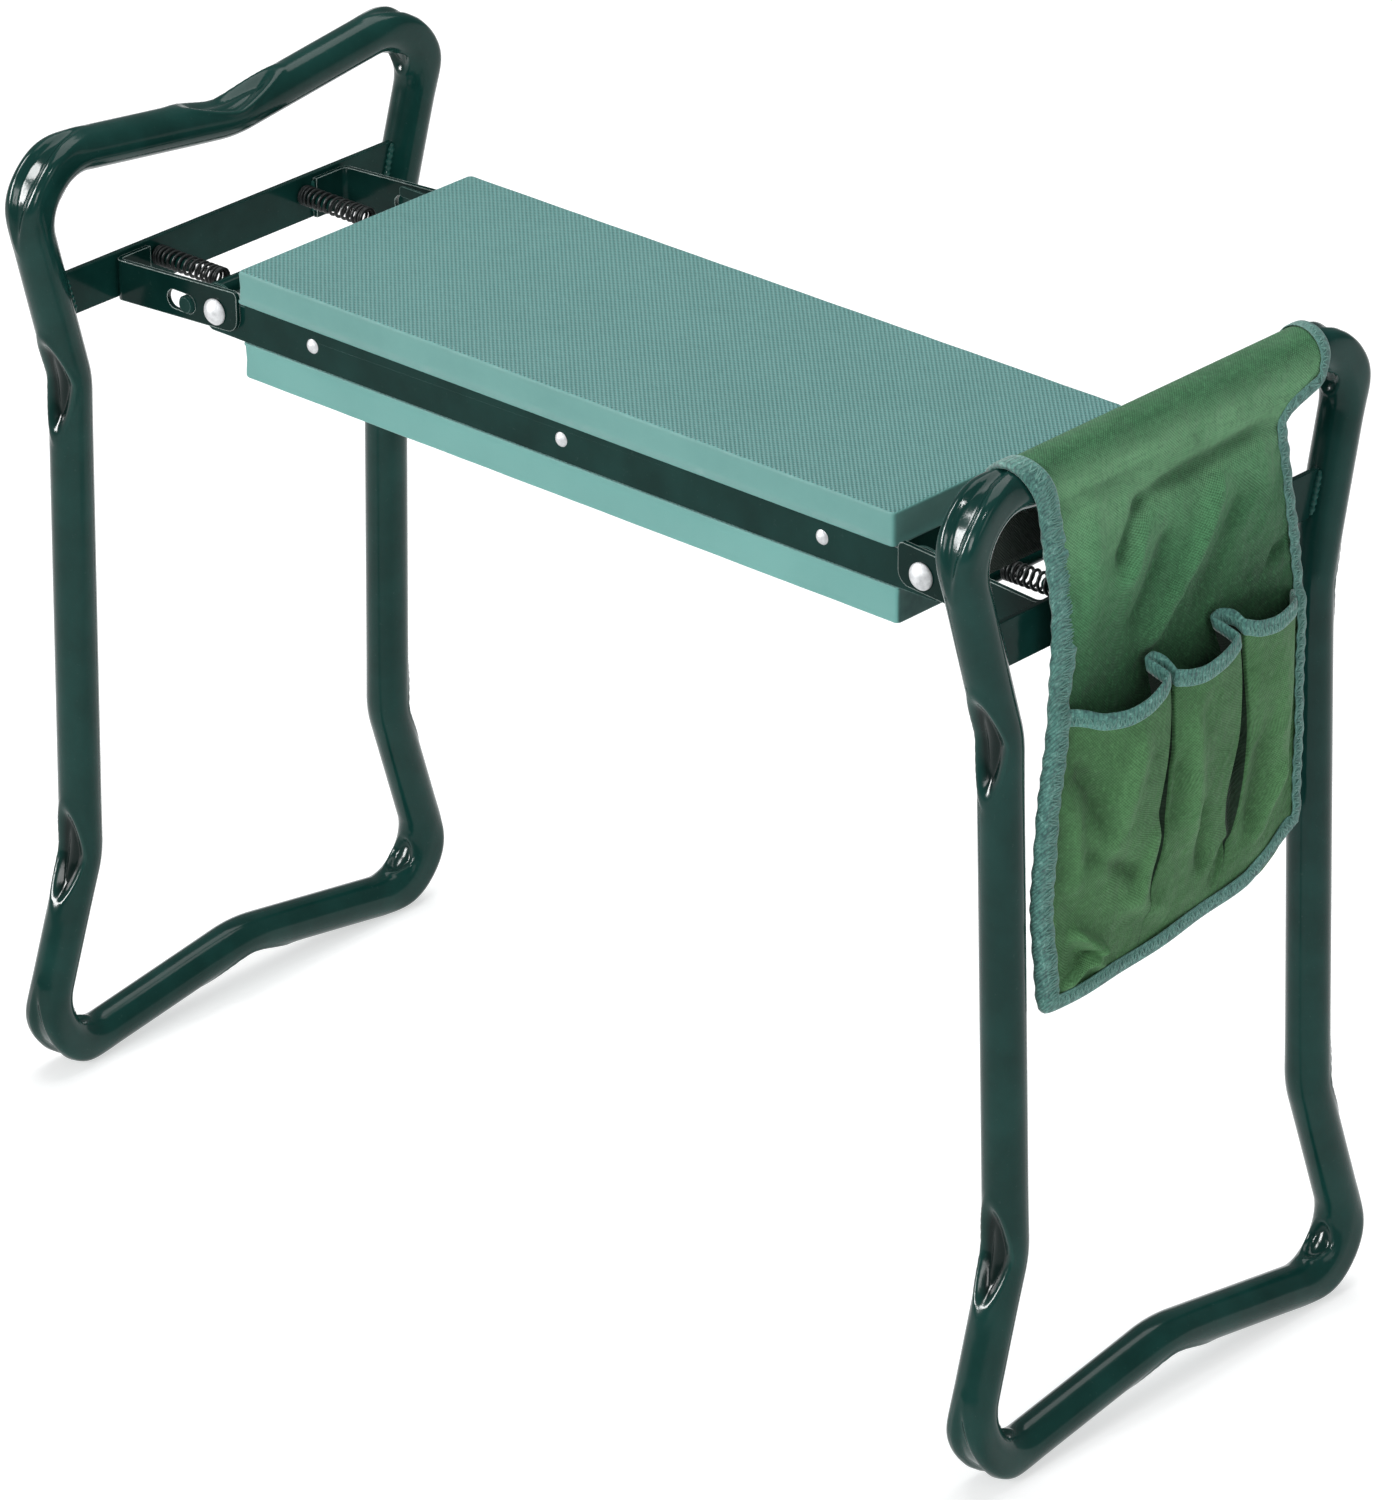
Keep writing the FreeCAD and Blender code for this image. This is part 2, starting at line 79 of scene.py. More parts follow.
# Pouch
CLOTH = 1.1 * MM
PANEL_X = 299.6 * MM
SADDLE_X = 287.99 * MM
SADDLE_Z = PIVOT_Z + 69.5 * MM
SADDLE_R = PANEL_X - SADDLE_X
FLAP_BOTTOM_Z = PIVOT_Z + 26 * MM


# ---- mesh helpers


def face_outwards(mesh):
    work = bmesh.new()
    work.from_mesh(mesh)
    bmesh.ops.recalc_face_normals(work, faces=work.faces)
    work.to_mesh(mesh)
    work.free()
    mesh.update()


def make_mesh(name, points, faces, materials, body=None, smooth=True, face_slots=None):
    """A mesh object that rides on a CAD body."""
    mesh = bpy.data.meshes.new(name)
    mesh.from_pydata([tuple(p) for p in points], [], [tuple(f) for f in faces])
    for material in materials:
        mesh.materials.append(material)
    if face_slots is not None:
        mesh.polygons.foreach_set("material_index", face_slots)
    mesh.polygons.foreach_set("use_smooth", [smooth] * len(mesh.polygons))
    face_outwards(mesh)
    obj = bpy.data.objects.new(name, mesh)
    link(obj)
    if body:
        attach(obj, body)
    return obj


def link(obj):
    bpy.context.scene.collection.objects.link(obj)


def point_attribute(obj, name, values):
    layer = obj.data.attributes.new(name, "FLOAT", "POINT")
    layer.data.foreach_set("value", values)


def grid_faces(rows, columns, closed=False, ring=False, first=0, flip=False):
    """Quads of a grid stored row by row. closed joins its last and first column, ring its rows."""
    faces = []
    for r in range(rows if ring else rows - 1):
        here, there = first + r * columns, first + (r + 1) % rows * columns
        for c in range(columns if closed else columns - 1):
            d = (c + 1) % columns
            quad = [here + c, here + d, there + d, there + c]
            faces.append(quad[::-1] if flip else quad)
    return faces


def ease(t):
    t = np.clip(t, 0.0, 1.0)
    return t * t * (3 - 2 * t)


def curve(knots, values, at):
    """Smooth interpolation through knots and values, with no overshoot."""
    knots = np.asarray(knots, float)
    values = np.asarray(values, float)
    at = np.clip(np.asarray(at, float), knots[0], knots[-1])
    slopes = np.diff(values) / np.diff(knots)
    tangents = np.zeros(len(knots))
    tangents[0] = slopes[0]
    tangents[-1] = slopes[-1]
    for i in range(1, len(knots) - 1):
        if slopes[i - 1] * slopes[i] > 0:
            tangents[i] = 2 * slopes[i - 1] * slopes[i] / (slopes[i - 1] + slopes[i])
    i = np.clip(np.searchsorted(knots, at, side="right") - 1, 0, len(knots) - 2)
    h = knots[i + 1] - knots[i]
    t = (at - knots[i]) / h
    return ((2 * t**3 - 3 * t**2 + 1) * values[i] + (t**3 - 2 * t**2 + t) * h * tangents[i]
            + (3 * t**2 - 2 * t**3) * values[i + 1] + (t**3 - t**2) * h * tangents[i + 1])


def unit(vectors):
    return vectors / np.maximum(np.linalg.norm(vectors, axis=-1, keepdims=True), 1e-12)


def grid_normals(points):
    down = np.gradient(points, axis=0)
    across = np.gradient(points, axis=1)
    return unit(np.cross(down, across))


def shell(name, points, thickness, materials, body, shaded=()):
    """A thin cloth round a grid, with its rim. Outside, the shaded columns take the third material, the
    cloth painted dark as shade.
    """
    rows, columns = points.shape[:2]
    normals = grid_normals(points)
    outer = points + normals * thickness / 2
    inner = points - normals * thickness / 2
    count = rows * columns
    faces = grid_faces(rows, columns, flip=True) + grid_faces(rows, columns, first=count)
    front = [2 if c in shaded else 0 for c in range(columns - 1)] * (rows - 1)
    slots = front + [min(1, len(materials) - 1)] * (len(faces) // 2)
    index = np.arange(count).reshape(rows, columns)
    edge = [*index[0], *index[1:, -1], *index[-1, -2::-1], *index[-2:0:-1, 0]]
    for a, b in zip(edge, edge[1:] + edge[:1]):
        faces.append([a, b, b + count, a + count])
        slots.append(0)
    every = np.concatenate([outer.reshape(-1, 3), inner.reshape(-1, 3)])
    return make_mesh(name, every, faces, materials, body, face_slots=slots)


def tube_along(path, radius, sides=8):
    """Points and faces of a round tube with closed ends; its radius may change."""
    path = np.asarray(path, float)
    radius = np.broadcast_to(np.asarray(radius, float), len(path))
    tangents = unit(np.gradient(path, axis=0))
    normal = np.cross(tangents[0], [0.31, 0.52, 0.79])
    points = []
    for centre, tangent, r in zip(path, tangents, radius):
        normal = normal - np.dot(normal, tangent) * tangent
        normal = normal / np.linalg.norm(normal)
        side = np.cross(tangent, normal)
        for k in range(sides):
            angle = TURN * k / sides
            points.append(centre + r * (math.cos(angle) * normal + math.sin(angle) * side))
    faces = grid_faces(len(path), sides, closed=True)
    faces.append(list(range(sides))[::-1])
    faces.append([(len(path) - 1) * sides + k for k in range(sides)])
    return points, faces


def joined(parts):
    points, faces = [], []
    for some_points, some_faces in parts:
        shift = len(points)
        points.extend(some_points)
        faces.extend([[shift + i for i in face] for face in some_faces])
    return points, faces


# ---- materials

# Tones; a pair is the two tones of a mottled surface
COAT = ((0.004, 0.031, 0.026), (0.007, 0.046, 0.039))
COAT_RUBBED = (0.05, 0.13, 0.11)
COAT_HOLLOW_SHADE = (0.0005, 0.004, 0.0035)
COAT_DUST = (0.10, 0.16, 0.14)
PAN_EDGES = (0.14, 0.24, 0.22)
# Near-white arm edges: partly chipped paint, mostly a painted highlight along the edges
ARM_EDGE_WEAR_AND_GLINT = (0.50, 0.60, 0.57)
ZINC = ((0.70, 0.71, 0.72), (0.44, 0.45, 0.46))
SPRING_WIRE = ((0.006, 0.008, 0.008), (0.022, 0.026, 0.026))
FOAM_SIDE = ((0.104, 0.292, 0.266), (0.124, 0.330, 0.300))
FOAM_FACE = ((0.100, 0.304, 0.286), (0.116, 0.335, 0.316))
FOAM_DIMPLE_SHADE = (0.028, 0.105, 0.096)
FOAM_RIDGE_HIGHLIGHT = (0.20, 0.42, 0.39)
FOAM_MOTTLE = (0.22, 0.42, 0.39)
PANEL = ((0.042, 0.147, 0.065), (0.066, 0.206, 0.092))
# Painted light on the panel's top where it turns over the handle
PANEL_PAINTED_LIGHT = (0.200, 0.440, 0.230)
POCKET = ((0.055, 0.153, 0.059), (0.085, 0.215, 0.089))
# Inside the pleats: the cloth painted near black as shade
PLEAT_SHADE = ((0.010, 0.028, 0.014), (0.016, 0.042, 0.021))
BACKING = ((0.010, 0.020, 0.014), (0.016, 0.030, 0.020))
TAPE = ((0.045, 0.165, 0.138), (0.088, 0.255, 0.215))
TAPE_GROOVE = (0.014, 0.066, 0.062)
TAPE_SPECK = (0.012, 0.060, 0.058)
TAPE_FLUFF = (0.19, 0.42, 0.36)
TAPE_EDGE = (0.17, 0.38, 0.33)
STITCH = (0.13, 0.33, 0.28)
FLOOR = ((0.60, 0.60, 0.60), (0.63, 0.63, 0.63))

# Pitches of the fine patterns
DIMPLE_PITCH = 2.7 * MM
THREAD_PITCH = 1.5 * MM
RIB_PITCH = 2.2 * MM
# Along the panel, from the inner flap's end: where the painted light band over the handle starts, is
# full, starts to fade and ends; and where the painted shade inside the pockets starts and is full
LIT_BAND_PLACES = (0.070, 0.084, 0.108, 0.145)
SHADED = (0.145, 0.183)


def scaled(colour, gain):
    return tuple(gain * c for c in colour)


class Nodes:
    def __init__(self, name):
        self.material = bpy.data.materials.new(name)
        self.material.use_nodes = True
        self.tree = self.material.node_tree
        self.shader = self.tree.nodes["Principled BSDF"]

    def plug(self, socket, value):
        if isinstance(value, bpy.types.NodeSocket):
            self.tree.links.new(value, socket)
        else:
            socket.default_value = (*value, 1) if socket.type == "RGBA" else value

    def add(self, kind, inputs, **settings):
        node = self.tree.nodes.new(kind)
        for key, value in settings.items():
            setattr(node, key, value)
        for key, value in inputs.items():
            self.plug(node.inputs[key], value)
        return node

    def set(self, **values):
        for key, value in values.items():
            self.plug(self.shader.inputs[key.replace("_", " ")], value)
        return self.material

    def math(self, operation, a, b=0.0):
        return self.add("ShaderNodeMath", {0: a, 1: b}, operation=operation).outputs[0]

    def wave(self, value, period, kind="SINE"):
        return self.math(kind, self.math("MULTIPLY", value, TURN / period))

    def mix(self, amount, first, second):
        return self.add("ShaderNodeMix", {0: amount, 6: first, 7: second}, data_type="RGBA").outputs[2]

    def noise(self, scale, detail=3.0, roughness=0.5, vector=None):
        vector = vector or self.place()
        inputs = {"Vector": vector, "Scale": scale, "Detail": detail, "Roughness": roughness}
        return self.add("ShaderNodeTexNoise", inputs).outputs["Fac"]

    def place(self):
        return self.add("ShaderNodeTexCoord", {}).outputs["Object"]

    def uv(self):
        return self.add("ShaderNodeTexCoord", {}).outputs["UV"]

    def geometry(self, name):
        return self.add("ShaderNodeNewGeometry", {}).outputs[name]

    def attribute(self, name):
        return self.add("ShaderNodeAttribute", {}, attribute_name=name).outputs["Fac"]

    def parts(self, vector):
        return self.add("ShaderNodeSeparateXYZ", {0: vector}).outputs

    def ramp(self, value, low, high, out_low=0.0, out_high=1.0):
        ends = {"From Min": low, "From Max": high, "To Min": out_low, "To Max": out_high}
        return self.add("ShaderNodeMapRange", {"Value": value, **ends}).outputs[0]

    def mottled(self, pattern, tones, low=0.3, high=0.7):
        return self.mix(self.ramp(pattern, low, high), *tones)

    def tinted(self, colour, *layers):
        """The colour with tints over it: each has its pattern, where it starts and is full, how much
        of it shows there, and its tone."""
        for pattern, low, high, amount, tint in layers:
            colour = self.mix(self.ramp(pattern, low, high, 0.0, amount), colour, tint)
        return colour

    def bump(self, height, strength, distance, normal=None):
        inputs = {"Height": height, "Strength": strength, "Distance": distance}
        if normal is not None:
            inputs["Normal"] = normal
        return self.add("ShaderNodeBump", inputs).outputs[0]

    def sharp_edges(self, radius):
        """1 where the surface turns sharply within the radius, 0 on its flat parts."""
        rounded = self.add("ShaderNodeBevel", {"Radius": radius}, samples=6).outputs[0]
        both = {0: rounded, 1: self.geometry("Normal")}
        same = self.add("ShaderNodeVectorMath", both, operation="DOT_PRODUCT").outputs["Value"]
        return self.ramp(same, 0.97, 0.86)


def powder_coat(name, gain=1.0, orange_peel=0.12, edge_wear_and_glint=None):
    """Glossy coating with orange peel, dull patches, painted shade in the dents' hollows and paler
    rubbed
    edges. Sheet steel has few points on its faces, so its paler edges come from a bevel test instead:
    chipped paint, and on the arms also a near-white painted highlight."""
    n = Nodes(name)
    patches = n.noise(38.0, 4.0)
    dust = n.noise(420.0, 2.0, 0.7)
    colour = n.mottled(patches, [scaled(tone, gain) for tone in COAT], 0.35)
    if edge_wear_and_glint:
        # Paler edges: chipped paint, and on the arms, whose edge colour is near white, mostly a painted
        # highlight
        edge_wear_and_glint_mask = n.math("MULTIPLY", n.sharp_edges(0.8 * MM), n.ramp(patches, 0.3, 0.6, 0.5, 1.0))
        colour = n.mix(edge_wear_and_glint_mask, colour, edge_wear_and_glint)
        n.set(Coat_Weight=0.04, Specular_IOR_Level=0.06)
    else:
        rubbed = n.ramp(n.geometry("Pointiness"), 0.53, 0.62)
        colour = n.mix(n.math("MULTIPLY", rubbed, 0.4), colour, COAT_RUBBED)
        # Painted shade in the dents' hollows, from the mesh's hollow attribute
        colour = n.tinted(colour, (n.attribute("hollow"), 0.1, 0.75, 0.84, COAT_HOLLOW_SHADE))
        n.set(Coat_Weight=0.06, Specular_IOR_Level=0.14)
    colour = n.tinted(colour, (dust, 0.66, 0.8, 0.12, COAT_DUST))
    peel = n.bump(n.noise(620.0, 2.0), orange_peel, 0.25 * MM)
    n.set(Coat_Roughness=0.05, Roughness=n.ramp(patches, 0.3, 0.75, 0.12, 0.2))
    return n.set(Base_Color=colour, Normal=peel)


def zinc(name):
    """Zinc plate with fine scratches and duller patches."""
    n = Nodes(name)
    patches = n.noise(240.0, 4.0, 0.6)
    scratches = n.noise(1500.0, 3.0, 0.8)
    n.set(Metallic=0.3, Specular_IOR_Level=0.3, Roughness=n.ramp(patches, 0.3, 0.7, 0.38, 0.55))
    return n.set(Base_Color=n.mottled(patches, ZINC, 0.35), Normal=n.bump(scratches, 0.12, 0.1 * MM))


def spring_steel(name):
    """Oiled black spring wire with drawn lines."""
    n = Nodes(name)
    patches = n.noise(300.0, 3.0)
    n.set(Metallic=0.15, Specular_IOR_Level=0.2, Roughness=n.ramp(patches, 0.3, 0.7, 0.3, 0.45))
    drawn = n.bump(n.noise(2200.0), 0.15, 0.05 * MM)
    return n.set(Base_Color=n.mix(patches, *SPRING_WIRE), Normal=drawn)


def foam(name, embossed, side_gain=1.0, end_shade_gain=0.75):
    """Closed-cell foam: dimpled faces with painted shade in the dimples and a painted highlight on the
    ridges, smooth paler sides, and ends painted darker as shade.
    """
    n = Nodes(name)
    place = n.place()
    x, y = n.parts(place)[0:2]
    facing_x, _, facing_z = n.parts(n.geometry("Normal"))[0:3]
    up = n.ramp(n.math("ABSOLUTE", facing_z), 0.75, 0.95)
    lattice = n.math("MULTIPLY", n.wave(x, DIMPLE_PITCH, "COSINE"), n.wave(y, DIMPLE_PITCH, "COSINE"))
    pores = n.noise(900.0, 3.0, 0.7, place)
    broad = n.noise(16.0, 3.0, 0.5, place)
    mottle = n.noise(130.0, 4.0, 0.6, place)
    sides = [scaled(tone, side_gain) for tone in FOAM_SIDE]
    side = n.mottled(broad, sides)
    # The ends, facing along x, are painted darker: painted shade
    side = n.mix(n.ramp(n.math("ABSOLUTE", facing_x), 0.6, 0.9), side, scaled(sides[0], end_shade_gain))
    # Painted shade in the dimples and a painted highlight on the ridges between them
    face = n.tinted(n.mottled(broad, FOAM_FACE), (lattice, 0.1, 0.8, 0.85 * embossed, FOAM_DIMPLE_SHADE),
                    (lattice, -0.25, -1.0, 0.45 * embossed, FOAM_RIDGE_HIGHLIGHT))
    colour = n.tinted(n.mix(up, side, face), (mottle, 0.35, 0.75, 0.16, FOAM_MOTTLE))
    cells = n.bump(pores, 0.18, 0.3 * MM)
    dimples = n.math("MULTIPLY", n.math("MULTIPLY", lattice, up), -0.6 * embossed)
    n.set(Sheen_Weight=0.12, Sheen_Roughness=0.5, Specular_IOR_Level=0.3)
    return n.set(Base_Color=colour, Roughness=n.ramp(mottle, 0.3, 0.7, 0.62, 0.82),
                 Normal=n.bump(dimples, 1.0, 0.9 * MM, cells))


def woven(name, tones, coated=False, outside=False):
    """Oxford weave over the cloth's own UV, in metres, with slubs and soft patches. Folds get a painted
    highlight on their ridges and painted shade in between. The panel's outside gets painted light in a
    band over the handle and painted shade down inside the pockets."""
    n = Nodes(name)
    dark, light = tones
    place = n.place()
    u, v = n.parts(n.uv())[0:2]
    weave = n.math("MULTIPLY", n.wave(u, THREAD_PITCH), n.wave(v, THREAD_PITCH))
    stretched = (n.add("ShaderNodeMapping", {"Vector": place, "Scale": scale}).outputs[0]
                 for scale in ((1, 8, 1), (1, 1, 8)))
    slub, streak = (n.noise(60.0, 3.0, 0.6, vector) for vector in stretched)
    fuzz = n.noise(1400.0, 2.0, 0.6, place)
    flecks = n.noise(520.0, 2.0, 0.7, place)
    colour = n.mottled(n.noise(14.0, 3.0, 0.5, place), tones)
    if outside:
        # Painted light: a paler band where the cloth turns up over the handle
        band = n.math("MULTIPLY", n.ramp(v, *LIT_BAND_PLACES[:2]), n.ramp(v, *LIT_BAND_PLACES[2:], 1.0, 0.0))
        band = n.math("MULTIPLY", band, n.ramp(n.noise(22.0, 3.0, 0.55, place), 0.3, 0.6, 0.55, 1.0))
        colour = n.mix(band, colour, PANEL_PAINTED_LIGHT)
    # Painted highlight on the folds' ridges and painted shade between them
    fold = n.attribute("fold")
    colour = n.tinted(colour, (fold, 0.05, 1.0, 0.45, scaled(light, 1.5)),
                      (fold, -0.05, -1.0, 0.55, scaled(dark, 0.4)))
    # Painted shade down inside the pockets
    if outside:
        colour = n.tinted(colour, (v, *SHADED, 0.55, scaled(dark, 0.35)))
    colour = n.tinted(
        colour,
        (slub, 0.45, 0.8, 0.25, scaled(light, 1.35)), (streak, 0.5, 0.85, 0.22, scaled(dark, 0.6)),
        (weave, -0.6, 0.9, 0.5, scaled(dark, 0.4)), (flecks, 0.5, 0.68, 0.28, scaled(dark, 0.45)),
        (flecks, 0.46, 0.3, 0.28, scaled(light, 1.5)))
    height = n.math("ADD", weave, n.math("MULTIPLY", fuzz, 0.8))
    rumple = n.bump(n.noise(30.0, 3.0, 0.5, place), 0.9, 2.0 * MM if coated else 12.0 * MM)
    rough = n.ramp(slub, 0.3, 0.7, 0.4, 0.55) if coated else n.ramp(slub, 0.3, 0.7, 0.58, 0.78)
    n.set(Sheen_Weight=0.08, Sheen_Roughness=0.4, Specular_IOR_Level=0.4 if coated else 0.15)
    return n.set(Base_Color=colour, Roughness=rough, Normal=n.bump(height, 0.5, 0.35 * MM, rumple))


def tape_cloth(name):
    """Binding tape, ribbed across its width, with paler, fuzzy edges."""
    n = Nodes(name)
    u, v = n.parts(n.uv())[0:2]
    ribs = n.wave(u, RIB_PITCH)
    patches = n.noise(150.0, 4.0, 0.65)
    fuzz = n.noise(1500.0, 2.0, 0.7)
    specks = n.noise(420.0, 3.0, 0.7)
    edge = n.math("ABSOLUTE", n.math("SUBTRACT", v, 0.5))
    colour = n.tinted(
        n.mottled(patches, TAPE),
        (ribs, 0.1, 1.0, 0.55, TAPE_GROOVE), (specks, 0.52, 0.66, 0.8, TAPE_SPECK),
        (specks, 0.44, 0.33, 0.7, TAPE_FLUFF), (edge, 0.3, 0.5, 0.35, TAPE_EDGE))
    n.set(Sheen_Weight=0.3, Sheen_Roughness=0.45)
    return n.set(Base_Color=colour, Roughness=n.ramp(patches, 0.3, 0.7, 0.65, 0.85),
                 Normal=n.bump(n.math("ADD", ribs, fuzz), 0.4, 0.25 * MM))


def thread(name):
    n = Nodes(name)
    twist = n.noise(2500.0, 2.0, 0.6)
    shade = n.mottled(twist, (scaled(STITCH, 0.5), STITCH), 0.35, 0.65)
    n.set(Sheen_Weight=0.2, Roughness=n.ramp(twist, 0.3, 0.7, 0.45, 0.7))
    return n.set(Base_Color=shade, Normal=n.bump(twist, 0.5, 0.1 * MM))


def floor_paint(name):
    n = Nodes(name)
    mottle = n.noise(3.0, 4.0)
    n.set(Emission_Color=(1, 1, 1), Emission_Strength=0.58, Specular_IOR_Level=0.1)
    return n.set(Base_Color=n.mix(mottle, *FLOOR), Roughness=n.ramp(mottle, 0.3, 0.7, 0.85, 0.95))


# ---- frame tubes


def loop_bends():
    """The bends once round from the middle of the foot: start, end, centre, signed turn and kind."""
    other = [(-y, *rest) for y, *rest in reversed(SIDE_CORNERS)]
    corners = [FOOT_MIDDLE, *SIDE_CORNERS, HANDLE_MIDDLE, *other]
    points = [np.array([y * MM, w * MM]) for y, w, _, _ in corners]
    bends = []
    for i, (_, _, bend, kind) in enumerate(corners):
        radius = bend * MM
        back = unit(points[i - 1] - points[i])
        ahead = unit(points[(i + 1) % len(points)] - points[i])
        half = math.acos(np.clip(np.dot(back, ahead), -1, 1)) / 2
        centre = points[i] + unit(back + ahead) * radius / math.sin(half)
        start = points[i] + back * radius / math.tan(half)
        end = points[i] + ahead * radius / math.tan(half)
        turn = math.copysign(math.pi - 2 * half, back[1] * ahead[0] - back[0] * ahead[1])
        bends.append({"start": start, "end": end, "centre": centre, "turn": turn,
                      "arc": radius * abs(turn), "kind": kind})
    return bends


def rotated(vector, angle):
    c, s = math.cos(angle), math.sin(angle)
    return np.array([vector[0] * c - vector[1] * s, vector[0] * s + vector[1] * c])


def loop_stations():
    """Stations round the centreline: (y, w), direction and run; each bend's middle; the whole run."""
    stations, middles, run = [], [], 0.0
    bends = loop_bends()
    for i, bend in enumerate(bends):
        before, arc = bends[i - 1]["end"], bend["arc"]
        straight = bend["start"] - before
        length = np.linalg.norm(straight)
        direction = straight / length
        along = 0.0
        while along < length - 0.3 * FINE_STEP:
            stations.append((before + direction * along, direction, run + along))
            near_end = min(along, length - along) < FINE_REACH - 0.4 * arc
            along += FINE_STEP if near_end else COARSE_STEP
        run += length
        middles.append((run + arc / 2, bend))
        steps = max(6, int(round(arc / FINE_STEP)))
        arm = bend["start"] - bend["centre"]
        for k in range(steps):
            angle = bend["turn"] * k / steps
            stations.append((bend["centre"] + rotated(arm, angle), rotated(direction, angle),
                             run + arc * k / steps))
        run += arc
    return stations, middles, run


# Each dent: half length along the tube, half angle round it in degrees, depth, and how much painted
# shade its hollow gets
DENTS = {
    "knee": {"inner": (28 * MM, 57, 5.0 * MM, 1.0)},
    "mid": {"inner": (34 * MM, 62, 5.0 * MM, 0.15)},
    "corner": {"inner": (16 * MM, 44, 2.8 * MM, 0.5), "outer": (28 * MM, 30, 2.3 * MM, 0.3)},
}
DEEPEST = 5.0 * MM
# How steep a dent's wall is, how blunt its ends are, and its lip: height, place and width
DENT_WALL = 1.8
DENT_END = 1.25
LIP = (0.1, 1.1, 0.13)
# Outer side of a hard bend: how far along it is square, and how much further it stands out
SHOULDER_REACH = 21 * MM
SHOULDER_RISE = 0.9 * MM
# A bent tube is wider across the bend: by this share, over this reach
BEND_WIDENS = 0.05
WIDE_REACH = 18 * MM


def dent_depth(away, angle, half_length, half_angle_deg, depth):
    """A pressed hollow with pointed ends, steep sides and a slightly raised lip."""
    reach = np.abs(away / half_length) ** DENT_END + (angle / math.radians(half_angle_deg)) ** 2
    lip_height, lip_place, lip_width = LIP
    lip = lip_height * np.exp(-((reach - lip_place) / lip_width) ** 2)
    return depth * (ease(DENT_WALL * (1 - reach)) - lip)


def shoulder_bulge(away, off):
    """How far the outer side of a hard bend stands out, square-shouldered."""
    outward = np.cos(off)
    square = (np.abs(outward) ** 6 + np.abs(np.sin(off)) ** 6) ** (-1 / 6) - 1
    near = math.exp(-(away / SHOULDER_REACH) ** 4)
    return near * np.where(outward > 0, TUBE_R * square + SHOULDER_RISE * outward, 0.0)


def loop_radius(run, angles, middles, total):
    """Of one station: the skin's radius at each angle, how much wider the tube is across the bend, and
    how much painted shade each point gets for lying in a hollow."""
    radius = np.full(len(angles), TUBE_R)
    hollow = np.zeros(len(angles))
    widen = 0.0
    for middle, bend in middles:
        away = (run - middle + total / 2) % total - total / 2
        if abs(away) > 2 * FINE_REACH:
            continue
        inner_angle = 0.0 if bend["turn"] > 0 else math.pi
        if bend["kind"] == "corner":
            radius = radius + shoulder_bulge(away, angles - inner_angle - math.pi)
        for side, (half_length, half_angle, depth, shade) in DENTS[bend["kind"]].items():
            facing = inner_angle if side == "inner" else inner_angle + math.pi
            off = (angles - facing + math.pi) % TURN - math.pi
            pressed = dent_depth(away, off, half_length, half_angle, depth)
            radius = radius - pressed
            # Each dent's shade share sets how much painted shade its hollow gets
            hollow = np.maximum(hollow, shade * pressed / DEEPEST)
        widen += BEND_WIDENS * math.exp(-(away / WIDE_REACH) ** 2)
    return radius, widen, hollow


def frame_loop(end, side, material):
    """The end frame's tube, pressed in at its bends."""
    stations, middles, total = loop_stations()
    angles = np.linspace(0, TURN, RING_SIDES, endpoint=False)
    points, hollows = [], []
    for (y, w), (along_y, along_w), run in stations:
        radius, widen, hollow = loop_radius(run, angles, middles, total)
        hollows.append(hollow)
        in_plane = radius * np.cos(angles) * (1 - 0.5 * widen)
        off_plane = radius * np.sin(angles) * (1 + widen)
        x, up = rotated((off_plane, w + in_plane * along_y), LEAN)
        points.append(np.stack([side * (FRAME_X + x), y - in_plane * along_w, PIVOT_Z + up], axis=1))
    faces = grid_faces(len(points), RING_SIDES, closed=True, ring=True, flip=side > 0)
    obj = make_mesh(end + "_tube_loop", np.concatenate(points), faces, [material], end + "_frame")
    # Attribute hollow: how much painted shade the coat gets in the dents
    point_attribute(obj, "hollow", np.concatenate(hollows))
    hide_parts(end + "_frame_tube")


# Welds: bead radius and number of ripples on the tube and on the arm, and how they are placed
TUBE_BEAD = (1.7 * MM, 7)
ARM_BEAD = (1.3 * MM, 5)
BEAD_SINK = 0.3 * MM
TUBE_SEAM_INSET = 6.4 * MM
TUBE_SEAM_SLOPE = 0.27
ARM_FLANGE = 22 * MM
ARM_SEAM_GAP = 0.4 * MM
ARM_SEAM_SHORT = 6.5 * MM


def weld_bead(start, end, radius, ripples):
    count = 8 * ripples
    t = np.linspace(0, 1, count)
    path = np.outer(1 - t, start) + np.outer(t, end)
    ends = np.sqrt(np.clip(1 - (2 * t - 1) ** 8, 0.02, 1))
    size = radius * ends * (1 + 0.14 * np.cos(TURN * ripples * t))
    return tube_along(path, size, sides=10)


